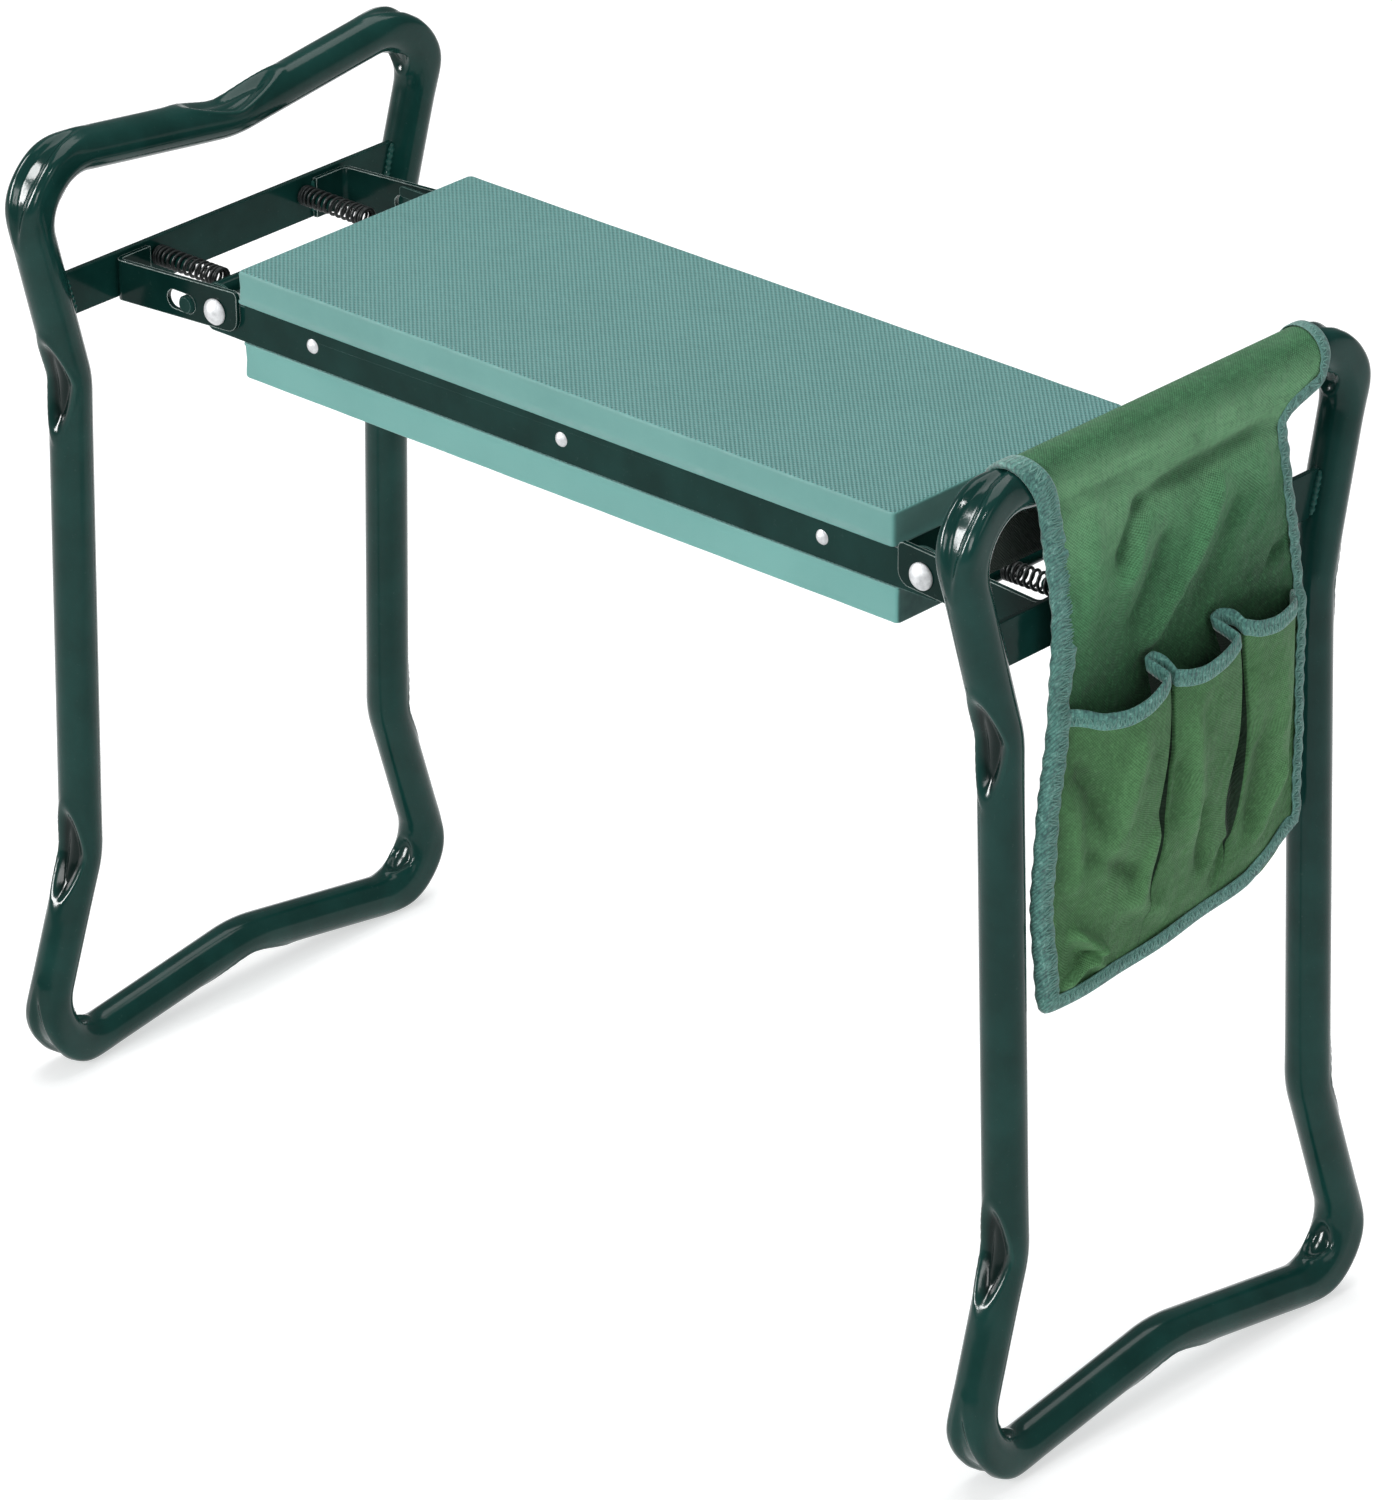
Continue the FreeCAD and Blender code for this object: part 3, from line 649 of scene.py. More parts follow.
def frame_welds(end, side, material):
    """Welds of the crossbar to the tube and of the arms' flanges to the crossbar."""
    low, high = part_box(end + "_crossbar")
    arm_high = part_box(end + "_rear_hinge_arm")[1]
    near_x, far_x = sorted((side * low[0], side * high[0]))
    tube_y = high[1] - TUBE_SEAM_INSET
    lean = TUBE_SEAM_SLOPE * (high[2] - low[2])
    seam_x = side * (near_x - ARM_SEAM_GAP)
    seam_y = arm_high[1] - ARM_FLANGE - ARM_SEAM_GAP
    parts = []
    for t in (-1, 1):
        for x in (near_x - BEAD_SINK, far_x + BEAD_SINK):
            bottom = np.array([side * x, t * tube_y, low[2] + 1.5 * MM])
            top = np.array([side * x, t * (tube_y + lean), high[2] - 1.0 * MM])
            parts.append(weld_bead(bottom, top, *TUBE_BEAD))
        bottom = np.array([seam_x, t * seam_y, low[2] + 3 * MM])
        top = np.array([seam_x, t * seam_y, arm_high[2] - ARM_SEAM_SHORT])
        parts.append(weld_bead(bottom, top, *ARM_BEAD))
    points, faces = joined(parts)
    obj = make_mesh(end + "_weld_runs", points, faces, [material], end + "_frame")


# ---- lock springs

WIRE_R = 0.8 * MM
SPRING_TURNS = 15
SPRING_STEPS = 22
# The turns lie closer together at both ends: share of the turns, share of the length
CLOSED_ENDS = ((0, 0.09, 0.91, 1), (0, 0.035, 0.965, 1))


def lock_springs(end, side, material):
    """Two coil springs, in the box of the CAD lock springs."""
    low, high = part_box(end + "_lock_springs")
    free_x, anchor_x = (low[0], high[0])[::side]
    middle_z = (low[2] + high[2]) / 2
    coil_r = (high[2] - low[2]) / 2 - WIRE_R
    x0 = free_x + side * WIRE_R
    x1 = anchor_x - side * WIRE_R
    t = np.linspace(0, 1, SPRING_STEPS * SPRING_TURNS)
    x = x0 + (x1 - x0) * curve(*CLOSED_ENDS, t)
    angle = TURN * SPRING_TURNS * t
    parts = []
    for y in (low[1] + coil_r + WIRE_R, high[1] - coil_r - WIRE_R):
        path = np.stack([x, y + coil_r * np.cos(angle), middle_z + coil_r * np.sin(angle)], axis=1)
        parts.append(tube_along(path, WIRE_R, sides=10))
    points, faces = joined(parts)
    obj = make_mesh(end + "_coil_springs", points, faces, [material], end + "_frame")
    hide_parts(end + "_lock_springs")
    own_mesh(obj)


# ---- foam pads


def outline_points(half_x, half_y, corner, per_corner=6, edge_step=8 * MM):
    """Points round a rectangle with rounded corners."""
    arcs = []
    for cx, cy, start in ((1, 1, 0), (-1, 1, 90), (-1, -1, 180), (1, -1, 270)):
        angles = np.radians(start + np.linspace(0, 90, per_corner + 1))
        centre = np.array([cx * (half_x - corner), cy * (half_y - corner)])
        arcs.append(centre + corner * np.stack([np.cos(angles), np.sin(angles)], axis=1))
    points = []
    for arc, following in zip(arcs, arcs[1:] + arcs[:1]):
        side = following[0] - arc[-1]
        steps = int(np.linalg.norm(side) / edge_step)
        points += [arc, arc[-1] + side * np.arange(1, steps)[:, None] / steps]
    return np.concatenate(points)


PAD_CORNER = 2.2 * MM
PAD_WOBBLE = 0.22 * MM
# Height of the lip at the back of a pad, in mm
LIP_TOP = 1.6


def pad(name, node, material, up):
    """A die-cut foam board with soft edges, a thin lip at its back and slightly sunk sides."""
    low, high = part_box(node)
    half_x, half_y = high[0], high[1]
    thick = (high[2] - low[2]) / MM
    outline = outline_points(half_x, half_y, PAD_CORNER)
    back_z = low[2] if up > 0 else high[2]
    # Inset and height above the back face, in mm
    profile = [
        (0.9, 0.0), (0.15, 0.15), (0.0, 0.5), (0.0, 1.3), (0.35, 1.7), (0.5, 0.30 * thick),
        (0.65, 0.5 * thick), (0.45, 0.75 * thick), (0.35, thick - 1.5), (0.55, thick - 0.75),
        (1.05, thick - 0.25), (1.9, thick), (4.0, thick), (9.0, thick),
    ]
    rings = []
    wobble = PAD_WOBBLE * (np.sin(outline[:, 0] * 47) * np.sin(outline[:, 1] * 61 + 1.0)
                           + 0.6 * np.sin(outline[:, 0] * 131 + outline[:, 1] * 97))
    for inset, height in profile:
        x, y = (outline * (1 - inset * MM / np.array([half_x, half_y]))).T
        ring = np.stack([x, y, np.full(len(x), back_z + up * height * MM)], axis=1)
        if height > LIP_TOP:
            ring[:, 1] -= np.sign(outline[:, 1]) * np.abs(wobble)
        rings.append(ring)
    count = len(outline)
    points = np.concatenate(rings)
    faces = grid_faces(len(rings), count, closed=True, flip=up < 0)
    back, front = list(range(count))[::-1], list(range(len(points) - count, len(points)))
    faces += [front[::up], back[::up]]
    obj = make_mesh(name, points, faces, [material], "seat")
    obj.data.polygons.foreach_set("use_smooth", [True] * (len(faces) - 2) + [False] * 2)
    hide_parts(node)


# ---- tool pouch

# Outline of the hanging panel, in mm: (height, y) of its front and rear edges, (y, height) below
FRONT_EDGE = ((226, -84), (231, -88.5), (245, -91), (280, -94.4), (308, -93), (349, -87.8),
              (376, -84.2), (418, -82.8), (428, -83.8), (455, -89.4), (475, -93), (483, -97),
              (494, -102))
REAR_EDGE = ((226, 70), (240, 78), (256, 86), (264, 88), (371, 87.5), (398, 84), (419, 79.6),
             (444, 75.9), (458, 73.6), (463, 77), (466, 88), (470, 99), (482, 103), (494, 103))
BOTTOM_EDGE = ((-95, 228.5), (-80, 227), (-30, 228.6), (31, 235), (58, 238.5), (70, 244.5), (80, 253),
               (90, 258))
# Grid rows of the inner flap, over the handle and of the outside
FLAP_ROWS = 16
CAP_STEPS = 20
DROP_ROWS = 110
# Binding, in mm: its width along the front edge (how much more above the pockets, at and over what
# height), bottom and rear edge; how far it lies off the panel, off the pockets (below and over what
# height) and behind
TAPE_FRONT = 10.5
TAPE_SPREAD = 3.0
SPREAD_Z = 412
SPREAD_REACH = 34
TAPE_BOTTOM = 7.6
TAPE_REAR = 6.2
TAPE_LIFT = 1.35
TAPE_OVER_POCKETS = 3.3
POCKETS_END = (377, 9)
TAPE_BACK = 1.2
# The mouth's binding: its width; how far it lies off the cloth at its tucked-in ends, elsewhere and
# behind; the ends' length and rise
MOUTH_TAPE = 6.8
MOUTH_LIFTS = (0.45, 0.8, 0.7)
MOUTH_ENDS = (8, 10)
# Soft creases of the panel: start (y, z), end (y, z), half width, height
CREASES = (
    (60, 462, -26, 457, 5.5, -5.4), (-26, 458, -44, 430, 5.5, -5.0),
    (24, 452, -3, 406, 5.5, 5.8), (-3, 408, -22, 384, 5.0, 5.0),
    (-28, 450, -40, 420, 5.0, 4.6), (64, 398, 42, 385, 3.6, 3.6),
    (76, 401, 44, 388, 4, -4.0), (42, 442, 12, 392, 7, -3.0),
    (-60, 470, -66, 400, 8, 2.4), (-10, 440, -32, 395, 6, -3.4),
)
# In mm: how far the cloth bows out above the pockets, its ripples along the seams, its slow waves
BOW = 5.0
PUCKER = 0.4
WAVE = 0.5
# In mm: the drop over which folds and bow grow, where the bow ends and over what height it fades, its
# rise from the front and rear edges, and the ripples' reach there
FOLDS_GROW = 25
BOW_GROWS = 42
BOW_ENDS = (372, 62)
BOW_SIDES = (26, 22)
RIPPLE_REACH = (15, 12)
PANEL_HALF = 88


def from_table(pairs, at):
    return curve(*np.array(pairs, float).T, at)


def crease_height(y, z, creases):
    """How far soft folds stand out, in metres, at y and z in millimetres."""
    total = np.zeros(np.broadcast(y, z).shape)
    for y0, z0, y1, z1, half_width, height in creases:
        run = np.array([y1 - y0, z1 - z0], float)
        length = np.linalg.norm(run)
        run = run / length
        along = ((y - y0) * run[0] + (z - z0) * run[1]) / length
        across = (y - y0) * run[1] - (z - z0) * run[0]
        fade = ease((along + 0.15) / 0.35) * ease((1.15 - along) / 0.35)
        total = total + height * MM * fade * np.exp(-(across / half_width) ** 2)
    return total


def panel_grid(columns=90):
    """The backing cloth: up the inside, over the handle and down the outside."""
    line = [(SADDLE_X - SADDLE_R, FLAP_BOTTOM_Z + (SADDLE_Z - FLAP_BOTTOM_Z) * k / FLAP_ROWS)
            for k in range(FLAP_ROWS)]
    for k in range(CAP_STEPS + 1):
        angle = math.pi * (1 - k / CAP_STEPS)
        line.append((SADDLE_X + SADDLE_R * math.cos(angle), SADDLE_Z + SADDLE_R * math.sin(angle)))
    u = np.linspace(0, 1, columns)
    rows = []
    for x, z in line:
        height = FRONT_EDGE[-1][0] if x < SADDLE_X else z / MM
        front, rear = from_table(FRONT_EDGE, height), from_table(REAR_EDGE, height)
        y = (front + (rear - front) * u) * MM
        rows.append(np.stack([np.full(columns, x), y, np.full(columns, z)], axis=1))
    top = SADDLE_Z / MM
    bottom = from_table(BOTTOM_EDGE, PANEL_HALF * (2 * u - 1))
    for k in range(1, DROP_ROWS + 1):
        z = top + (bottom - top) * k / DROP_ROWS
        front, rear = from_table(FRONT_EDGE, z), from_table(REAR_EDGE, z)
        y = front + (rear - front) * u
        fade = ease((top - z) / FOLDS_GROW)
        inside = ease((y - front) / BOW_SIDES[0]) * ease((rear - y) / BOW_SIDES[1])
        bow = BOW * ease((top - z) / BOW_GROWS) * ease((z - BOW_ENDS[0]) / BOW_ENDS[1])
        rim = sum(np.exp(-(edge / reach) ** 2)
                  for edge, reach in zip((y - front, rear - y), RIPPLE_REACH))
        pucker = PUCKER * np.sin(0.6 * z + 1.3 * np.sin(0.11 * z)) * rim
        wave = WAVE * np.sin(y * 0.11 + z * 0.05) * np.sin(z * 0.07 + 1.3)
        out = crease_height(y, z, CREASES) * fade + (bow * inside + (pucker + wave) * fade) * MM
        rows.append(np.stack([PANEL_X + out, y * MM, z * MM], axis=1))
    return np.array(rows)


# The pockets' mouth: (y, distance out, height), in mm. Between pockets it folds back to the panel and
# out again, as an inverted pleat.
MOUTH = (
    (-86, 1.6, 371), (-76, 2.6, 370.5), (-68, 5.5, 369), (-60, 10.5, 366.5), (-50, 14.5, 366),
    (-38, 16.4, 368), (-28, 15.8, 371.5), (-21.8, 13.6, 374.2),
    (-23.6, 8.5, 377), (-24.6, 3.4, 379.2), (-20.5, 3.0, 380), (-16.5, 7.5, 377.5),
    (-15.6, 13.4, 372.8), (-8, 15.6, 371), (1, 16.6, 370.2), (12, 16.2, 371.5), (20, 15.2, 373.4),
    (26.6, 13.6, 375.6),
    (23.0, 8.5, 380), (20.2, 3.4, 383.4), (25.5, 3.0, 384.6), (30.0, 7.5, 384), (30.8, 13.2, 380.8),
    (40, 15.4, 377.6), (51, 15.6, 376.2), (63, 13.4, 376.8), (75, 7.5, 376), (83, 3.0, 372.5),
    (88, 1.6, 370),
)
# The pleats' first and last point in MOUTH, and grid columns to each of its steps
PLEATS = ((7, 12), (17, 22))
PER_SPAN = 9
# How the pleats change down the cloth: share of the drop, gap between the folds, shift of both, depth
GAPS = (
    ((0.0, 6.2), (0.12, 3.6), (0.3, 5.8), (0.5, 10.0), (0.64, 9.0), (0.77, 1.5), (1.0, 0.2)),
    ((0.0, 4.6), (0.12, 4.0), (0.35, 8.0), (0.58, 14.5), (0.68, 11.5), (0.8, 1.2), (1.0, 0.2)),
)
SHIFTS = (
    ((0.0, 0.0), (0.3, 3.0), (0.6, 0.5), (0.8, -3.5), (1.0, -7.0)),
    ((0.0, 0.0), (0.2, 4.5), (0.4, 7.5), (0.62, 5.5), (0.8, 4.5), (1.0, 0.0)),
)
DEPTHS = ((0.0, 1.0), (0.25, 0.86), (0.55, 0.6), (0.75, 0.36), (0.9, 0.16), (1.0, 0.08))
PLEAT_DEPTHS = ((0.0, 1.0), (0.5, 0.9), (0.68, 0.62), (0.8, 0.12), (1.0, 0.02))


def pocket_section(share):
    """Points (y, out) of the pockets' cloth at a share of its drop, where the pleats have shifted and
    opened and each pocket's front stretches between them."""
    points = np.array([(y, out) for y, out, _ in MOUTH], float)
    pleat = from_table(PLEAT_DEPTHS, share)
    keep = max(0.0, 1 - share / 0.25)
    y = points[:, 0].copy()
    out = points[:, 1] * from_table(DEPTHS, share)
    anchors, places = [0], [y[0]]
    for (a, b), gaps, shifts in zip(PLEATS, GAPS, SHIFTS):
        gap = from_table(gaps, share)
        home = (points[a, 0] + points[b, 0]) / 2
        middle = home + from_table(shifts, share)
        anchors += [a, b]
        places += [middle - gap / 2, middle + gap / 2]
        even = np.linspace(-0.5, 0.5, b - a + 1) * gap
        y[a:b + 1] = middle + (points[a:b + 1, 0] - home) * keep + even * (1 - keep)
        edge = (out[a] + out[b]) / 2
        out[a + 1:b] = np.maximum(edge - (edge - out[a + 1:b]) * pleat, 1.2)
    anchors.append(len(points) - 1)
    places.append(y[-1])
    for a, b, start, end in zip(anchors[::2], anchors[1::2], places[::2], places[1::2]):
        t = (points[a:b + 1, 0] - points[a, 0]) / (points[b, 0] - points[a, 0])
        y[a:b + 1] = start + (end - start) * t
    return np.stack([y, np.maximum(out, 1.3)], axis=1)


def dense_section(points):
    """A smooth line through section points that keeps the sharp folds."""
    dense = []
    stops = [0, *PLEATS[0], *PLEATS[1], len(points) - 1]
    for first, last in zip(stops, stops[1:]):
        piece = points[first:last + 1]
        knots = np.arange(len(piece), dtype=float)
        at = np.linspace(0, len(piece) - 1, PER_SPAN * (len(piece) - 1) + 1)
        columns = [curve(knots, piece[:, c], at) for c in range(piece.shape[1])]
        line = np.stack(columns, axis=1)
        dense.append(line if last == stops[-1] else line[:-1])
    return np.concatenate(dense)


# In mm: how far the pockets' cloth lies off the panel at its seams, how far these lie inside the
# panel's bottom and side edges, and how far it lies flat and then rises from front, rear and bottom
POCKET_LOW = 0.9
SEAM_BOTTOM = 2.0
SEAM_SIDE = 1.5
FLAT_EDGES = ((6, 15), (4, 13), (5, 12))
POCKET_CREASES = (
    (-80, 241, -57, 250, 2.4, -6.5), (-76, 236, -58, 246, 2.4, 4.5),
    (-72, 262, -52, 246, 2.8, 8.5), (-64, 248, -50, 238, 2.6, 4.5),
    (-70, 345, -50, 300, 5, -4.2), (-40, 350, -55, 290, 6, 4.4),
    (-64, 300, -30, 276, 5, -3.8), (-44, 268, -8, 250, 5, 2.6),
    (-5, 350, 5, 280, 5, 3.6), (-9, 330, -10, 292, 4, -2.8),
    (60, 350, 64, 280, 7, 2.6), (-74, 330, -70, 280, 5, 3.2),
    (32, 270, 24, 250, 3, -4.2), (8, 300, 14, 262, 5, -3.8),
    (-22, 300, -32, 262, 5, 3.6), (50, 320, 46, 270, 5, -3.4),
    (66, 300, 52, 262, 4, 3.0),
)


def pocket_grid(rows=112):
    """The pleated cloth of the three pockets, from its mouth down to the bottom seam."""
    mouth_z = dense_section(np.array([(z, z) for _, _, z in MOUTH], float))[:, 0]
    grid = []
    for share in np.linspace(0, 1, rows + 1):
        y, out = dense_section(pocket_section(share)).T
        bottom = from_table(BOTTOM_EDGE, np.clip(y, -90, PANEL_HALF)) + SEAM_BOTTOM
        z = mouth_z + (bottom - mouth_z) * share
        front = from_table(FRONT_EDGE, z) + SEAM_SIDE
        rear = from_table(REAR_EDGE, z) - SEAM_SIDE
        y = np.clip(y, front, rear)
        free = 1.0
        for inside, (flat, rise) in zip((y - front, rear - y, z - bottom), FLAT_EDGES):
            free = free * ease((inside - flat) / rise)
        out = POCKET_LOW + (out - POCKET_LOW) * free
        fade = ease((1 - share) / 0.06)
        puff = crease_height(y, z, POCKET_CREASES) * fade * ease(share / 0.1)
        out = np.maximum(out * MM + puff, POCKET_LOW * MM)
        grid.append(np.stack([PANEL_X + CLOTH + out, y * MM, z * MM], axis=1))
    return np.array(grid)


def add_uv(obj, u, v):
    """UV over a shell's grid, the same on both its sides."""
    layer = obj.data.uv_layers.new(name="cloth")
    pairs = np.stack([u.ravel(), v.ravel()], axis=1)
    index = np.zeros(len(obj.data.loops), int)
    obj.data.loops.foreach_get("vertex_index", index)
    layer.data.foreach_set("uv", np.concatenate([pairs, pairs])[index].ravel())


def running(points, axis):
    """Distance run along a grid's rows or columns."""
    steps = np.diff(points, axis=axis, prepend=np.take(points, [0], axis=axis))
    return np.cumsum(np.linalg.norm(steps, axis=-1), axis=axis)


# Section of a tape from its front edge to its back edge: share of its width from the cloth's edge,
# how far it stands past that edge in mm, and side of the cloth
TAPE_PROFILE = ((1.0, 0.0, 0.96), (0.93, 0.0, 1.04), (0.6, 0.0, 1.06), (0.25, 0.0, 1.08),
                (0.04, 0.0, 1.0), (0.0, -0.8, 0.5), (0.0, -1.1, 0.0), (0.0, -0.8, -0.5),
                (0.04, 0.0, -1.0), (0.25, 0.0, -1.1), (0.6, 0.0, -1.05), (0.9, 0.0, -1.0))


def edge_tape(points, inward, normal, width, front, back):
    """Grid of a tape folded round an edge. Its width and how far it lies off the front may change."""
    width = np.broadcast_to(width, len(points))[:, None]
    front = np.broadcast_to(front, len(points))[:, None]
    rows = []
    for share, beyond, out in TAPE_PROFILE:
        lift = out * front if out > 0 else out * back
        rows.append(points + inward * (share * width + beyond * MM) + normal * lift)
    return np.array(rows)


# Stitches: the two rows of the tape's profile that they join, their pitch and how far they rise
STITCH_ROWS = (3, 1)
STITCH_PITCH = 3.0 * MM
STITCH_RISE = 0.45 * MM


def smoothed(values, passes):
    for _ in range(passes):
        padded = np.concatenate([values[:1], values, values[-1:]])
        values = (padded[:-2] + 2 * padded[1:-1] + padded[2:]) / 4
    return values


def add_fold(obj, grid, first, reach, full):
    """Point attribute fold: how far a cloth's points, from row first on, stand out (1) or lie back
    (-1) from their surroundings, which reach passes of averaging give."""
    out = grid[first:, :, 0]
    fold = np.zeros(grid.shape[:2])
    fold[first:] = np.clip((out - smoothed(smoothed(out, reach).T, reach).T) / full, -1, 1)
    point_attribute(obj, "fold", np.concatenate([fold.ravel(), fold.ravel()]))


def closed_strip(name, grid, material, body):
    """A tape with its own thickness, from a grid of profile rows."""
    obj = shell(name, grid, 0.5 * MM, [material], body)
    u = running(grid, 1)
    v = np.broadcast_to(np.linspace(0, 1, grid.shape[0])[:, None], grid.shape[:2])
    add_uv(obj, u, v)
    return obj


def panel_tape(grid):
    """Binding round the panel's front edge, bottom and rear edge, and over the sleeve's ends."""
    rows, columns = grid.shape[:2]
    start = FLAP_ROWS + 1
    loop = [(r, 0) for r in range(start, rows)]
    loop += [(rows - 1, c) for c in range(1, columns)]
    loop += [(r, columns - 1) for r in range(rows - 2, start - 1, -1)]
    at_row, at_column = np.array(loop).T
    points = grid[at_row, at_column]
    normal = smoothed(grid_normals(grid)[at_row, at_column], 3)
    direction = unit(smoothed(np.gradient(points, axis=0), 6))
    inward = unit(np.cross(normal, direction))
    middle = grid[rows // 2, columns // 2]
    if np.dot(inward[len(inward) // 2], middle - points[len(points) // 2]) < 0:
        inward = -inward
    height = points[:, 2] / MM
    front_width = TAPE_FRONT + TAPE_SPREAD * np.exp(-((height - SPREAD_Z) / SPREAD_REACH) ** 4)
    other_width = np.where(at_row == rows - 1, TAPE_BOTTOM, TAPE_REAR)
    width = np.where(at_column == 0, front_width, other_width) * MM
    below = ease((POCKETS_END[0] - height) / POCKETS_END[1])
    lift = (TAPE_LIFT + (TAPE_OVER_POCKETS - TAPE_LIFT) * below) * MM
    return edge_tape(points, inward, unit(normal), smoothed(width, 8), lift, TAPE_BACK * MM)


def mouth_tape(grid):
    """Binding along the pockets' mouth. Its ends go in below the panel's binding."""
    points = grid[0]
    normal = unit(smoothed(grid_normals(grid)[0], 1))
    down = unit(grid[2] - grid[0])
    along = running(points[None], 1)[0]
    inside = np.minimum(along, along[-1] - along) / MM
    low, high, behind = MOUTH_LIFTS
    lift = low + (high - low) * ease((inside - MOUTH_ENDS[0]) / MOUTH_ENDS[1])
    return edge_tape(points, down, normal, MOUTH_TAPE * MM, lift * MM, behind * MM)


def zigzag_stitches(grid, radius):
    """Short raised threads along a tape, from one row of its profile to another and back."""
    run = running(grid, 1)[STITCH_ROWS[1]]
    count = 2 * int(run[-1] / STITCH_PITCH)
    path = []
    for k in range(count):
        index = min(int(np.searchsorted(run, (k + 0.5) * run[-1] / count)), grid.shape[1] - 1)
        path.append(grid[STITCH_ROWS[k % 2], index])
    t = np.linspace(0.08, 0.92, 5)
    arch = np.sin(math.pi * t)
    lift = np.outer(arch, [STITCH_RISE, 0, 0])
    swell = radius * (0.55 + 0.45 * arch)
    return [tube_along(np.outer(1 - t, a) + np.outer(t, b) + lift, swell, sides=6)
            for a, b in zip(path[:-1], path[1:])]


# Thickness of the pockets' cloth
POCKET_CLOTH = 0.9 * MM


def tool_pouch(cloth, pocket_cloth, backing, pleat_shade_cloth, tape, stitch):
    grid = panel_grid()
    panel = shell("pouch_panel_cloth", grid, CLOTH, [cloth, backing], "right_frame")
    add_uv(panel, grid[..., 1], running(grid, 0))
    add_fold(panel, grid, FLAP_ROWS + CAP_STEPS + 4, 70, 2.7 * MM)
    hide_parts("pouch_panel")

    pleated = pocket_grid()
    # Columns deep in the pleats take the pleat cloth, painted dark as shade
    shaded = {c for first, last in PLEATS for c in range(PER_SPAN * first + 3, PER_SPAN * last - 3)}
    pockets = shell("pouch_pocket_cloth", pleated, POCKET_CLOTH,
                    [pocket_cloth, backing, pleat_shade_cloth], "right_frame", shaded)
    add_uv(pockets, running(pleated, 1), running(pleated, 0))
    add_fold(pockets, pleated, 0, 150, 2.6 * MM)
    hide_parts("pouch_pockets")

    edge = panel_tape(grid)
    edge_obj = closed_strip("pouch_edge_binding", edge, tape, "right_frame")
    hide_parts("pouch_binding")
    mouth = mouth_tape(pleated)
    mouth_obj = closed_strip("pouch_mouth_binding", mouth, tape, "right_frame")

    points, faces = joined(zigzag_stitches(edge, 0.42 * MM) + zigzag_stitches(mouth, 0.38 * MM))
    sewing = make_mesh("pouch_stitching", points, faces, [stitch], "right_frame")


# ---- carried-over steel


def dress(node, material, bevel=0.0, segments=2):
    obj = frame["nodes"][node]
    obj.data.materials.clear()
    obj.data.materials.append(material)
    weld = obj.modifiers.new("weld", "WELD")
    weld.merge_threshold = 0.01 * MM
    if bevel:
        soft = obj.modifiers.new("soft_edges", "BEVEL")
        soft.width = bevel
        soft.segments = segments
        soft.limit_method = "ANGLE"
        soft.angle_limit = math.radians(50)
        soft.harden_normals = segments > 1


def dress_steel(coat, arm_coat, steel_zinc):
    for node in ("upper_pan", "lower_pan"):
        dress(node, coat)
    dress("pan_rivets", steel_zinc)
    for end, _ in ENDS:
        dress(end + "_crossbar", coat, 0.55 * MM)
        for kind in ("front_hinge_arm", "rear_hinge_arm"):
            dress(end + "_" + kind, arm_coat, 0.8 * MM, 1)
        for kind in ("spring_studs", "lock_bar"):
            dress(end + "_" + kind, coat)
        for kind in ("pivot_bolts", "pivot_washers", "pivot_nuts"):
            dress(end + "_" + kind, steel_zinc)


# ---- studio

# Area lights: name, place, width, height and watts. All face the middle of the object.
SOFTBOXES = (
    ("top_softbox", (-0.5, 0.6, 3.3), 2.6, 2.6, 82),
    ("front_softbox", (0.75, -3.4, 1.9), 1.1, 1.1, 58),
    ("side_softbox", (3.2, -0.4, 1.8), 1.0, 1.6, 12),
)
# These show in glossy paint and metal but light nothing
GLINTS = (
    ("dent_glints", (-1.83, -2.15, 1.4), 0.8, 1.2, 190),
    ("edge_glints", (-2.1, -1.28, 2.35), 0.8, 0.8, 85),
    ("bend_glints", (0.9, -1.3, 2.6), 0.22, 0.22, 14),
)
AIM = Vector((0, 0, 0.3))
FLOOR_HALF = 12.0
CAMERA_PLACE = (2.55173, -2.74835, 2.06764)
CAMERA_AZIMUTH = math.radians(42.736)
CAMERA_ELEVATION = math.radians(26.1525)
CAMERA_ROLL = math.radians(-0.428)
CAMERA_LENS = 214.37


def studio_floor(material):
    corners = [(x * FLOOR_HALF, y * FLOOR_HALF, 0) for x, y in ((-1, -1), (1, -1), (1, 1), (-1, 1))]
    floor = make_mesh("studio_floor", corners, [(0, 1, 2, 3)], [material], smooth=False)


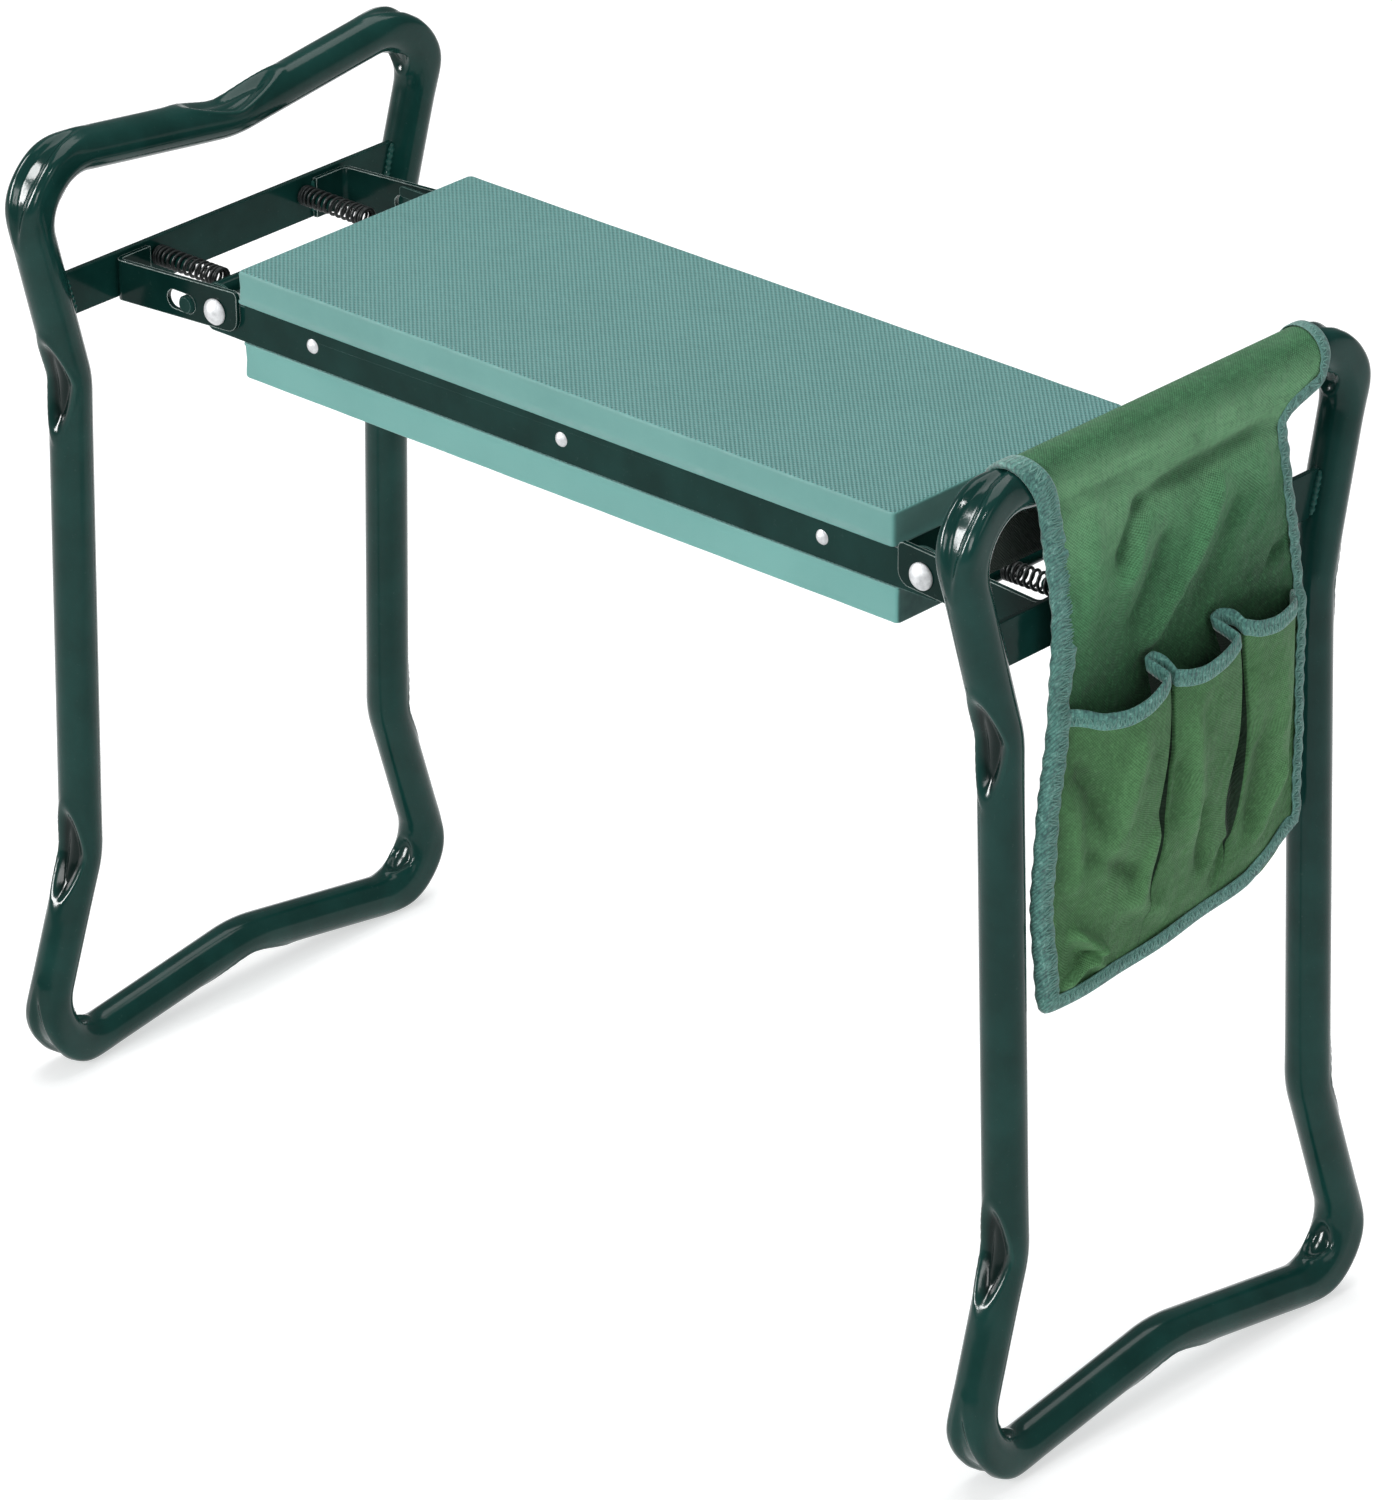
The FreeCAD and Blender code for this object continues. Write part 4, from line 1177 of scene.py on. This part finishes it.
def studio_lights():
    for name, place, width, height, watts in SOFTBOXES + GLINTS:
        data = bpy.data.lights.new(name, "AREA")
        data.shape = "RECTANGLE"
        data.size, data.size_y, data.energy = width, height, watts
        light = bpy.data.objects.new(name, data)
        light.location = place
        light.rotation_mode = "QUATERNION"
        light.rotation_quaternion = (Vector(place) - AIM).to_track_quat("Z", "Y")
        light.visible_diffuse = not name.endswith("glints")
        link(light)
    world = bpy.data.worlds.new("studio_world")
    world.use_nodes = True
    background = world.node_tree.nodes["Background"]
    background.inputs["Color"].default_value = (0.95, 0.98, 1.0, 1)
    background.inputs["Strength"].default_value = 0.28
    bpy.context.scene.world = world


def studio_camera():
    c, s = math.cos(CAMERA_AZIMUTH), math.sin(CAMERA_AZIMUTH)
    flat = math.cos(CAMERA_ELEVATION)
    back = Vector((s * flat, -c * flat, math.sin(CAMERA_ELEVATION)))
    right = Vector((c, s, 0))
    up = back.cross(right)
    c, s = math.cos(CAMERA_ROLL), math.sin(CAMERA_ROLL)
    turn = Matrix((c * right + s * up, c * up - s * right, back)).transposed()
    data = bpy.data.cameras.new("studio_camera")
    data.lens = CAMERA_LENS
    data.sensor_width = 36
    data.clip_end = 60
    camera = bpy.data.objects.new("studio_camera", data)
    camera.matrix_world = Matrix.Translation(CAMERA_PLACE) @ turn.to_4x4()
    link(camera)
    bpy.context.scene.camera = camera


# ---- all of it


def main():
    bpy.context.scene.view_settings.view_transform = "Standard"
    studio_floor(floor_paint("studio_paint"))
    studio_lights()
    studio_camera()
    coat = powder_coat("green_powder_coat")
    # The welds' coat has 1.8 times the tubes' tone: a painted highlight standing in for glints on the
    # beads
    weld_glint_coat = powder_coat("weld_powder_coat", 1.8, 0.6)
    wire = spring_steel("spring_wire")
    dress_steel(powder_coat("sheet_powder_coat", 0.85, edge_wear_and_glint=PAN_EDGES),
                powder_coat("arm_powder_coat", 0.55, edge_wear_and_glint=ARM_EDGE_WEAR_AND_GLINT), zinc("zinc_plate"))
    for end, side in ENDS:
        frame_loop(end, side, coat)
        frame_welds(end, side, weld_glint_coat)
        lock_springs(end, side, wire)
    pad("top_foam_pad", "top_pad", foam("embossed_foam", 1.0), 1)
    pad("bottom_foam_pad", "bottom_pad", foam("plain_foam", 0.6, 1.16, 0.3), -1)
    tool_pouch(woven("panel_weave", PANEL, outside=True), woven("pocket_weave", POCKET),
               woven("pouch_backing", BACKING, coated=True), woven("pleat_weave", PLEAT_SHADE),
               tape_cloth("binding_weave"), thread("binding_thread"))


main()
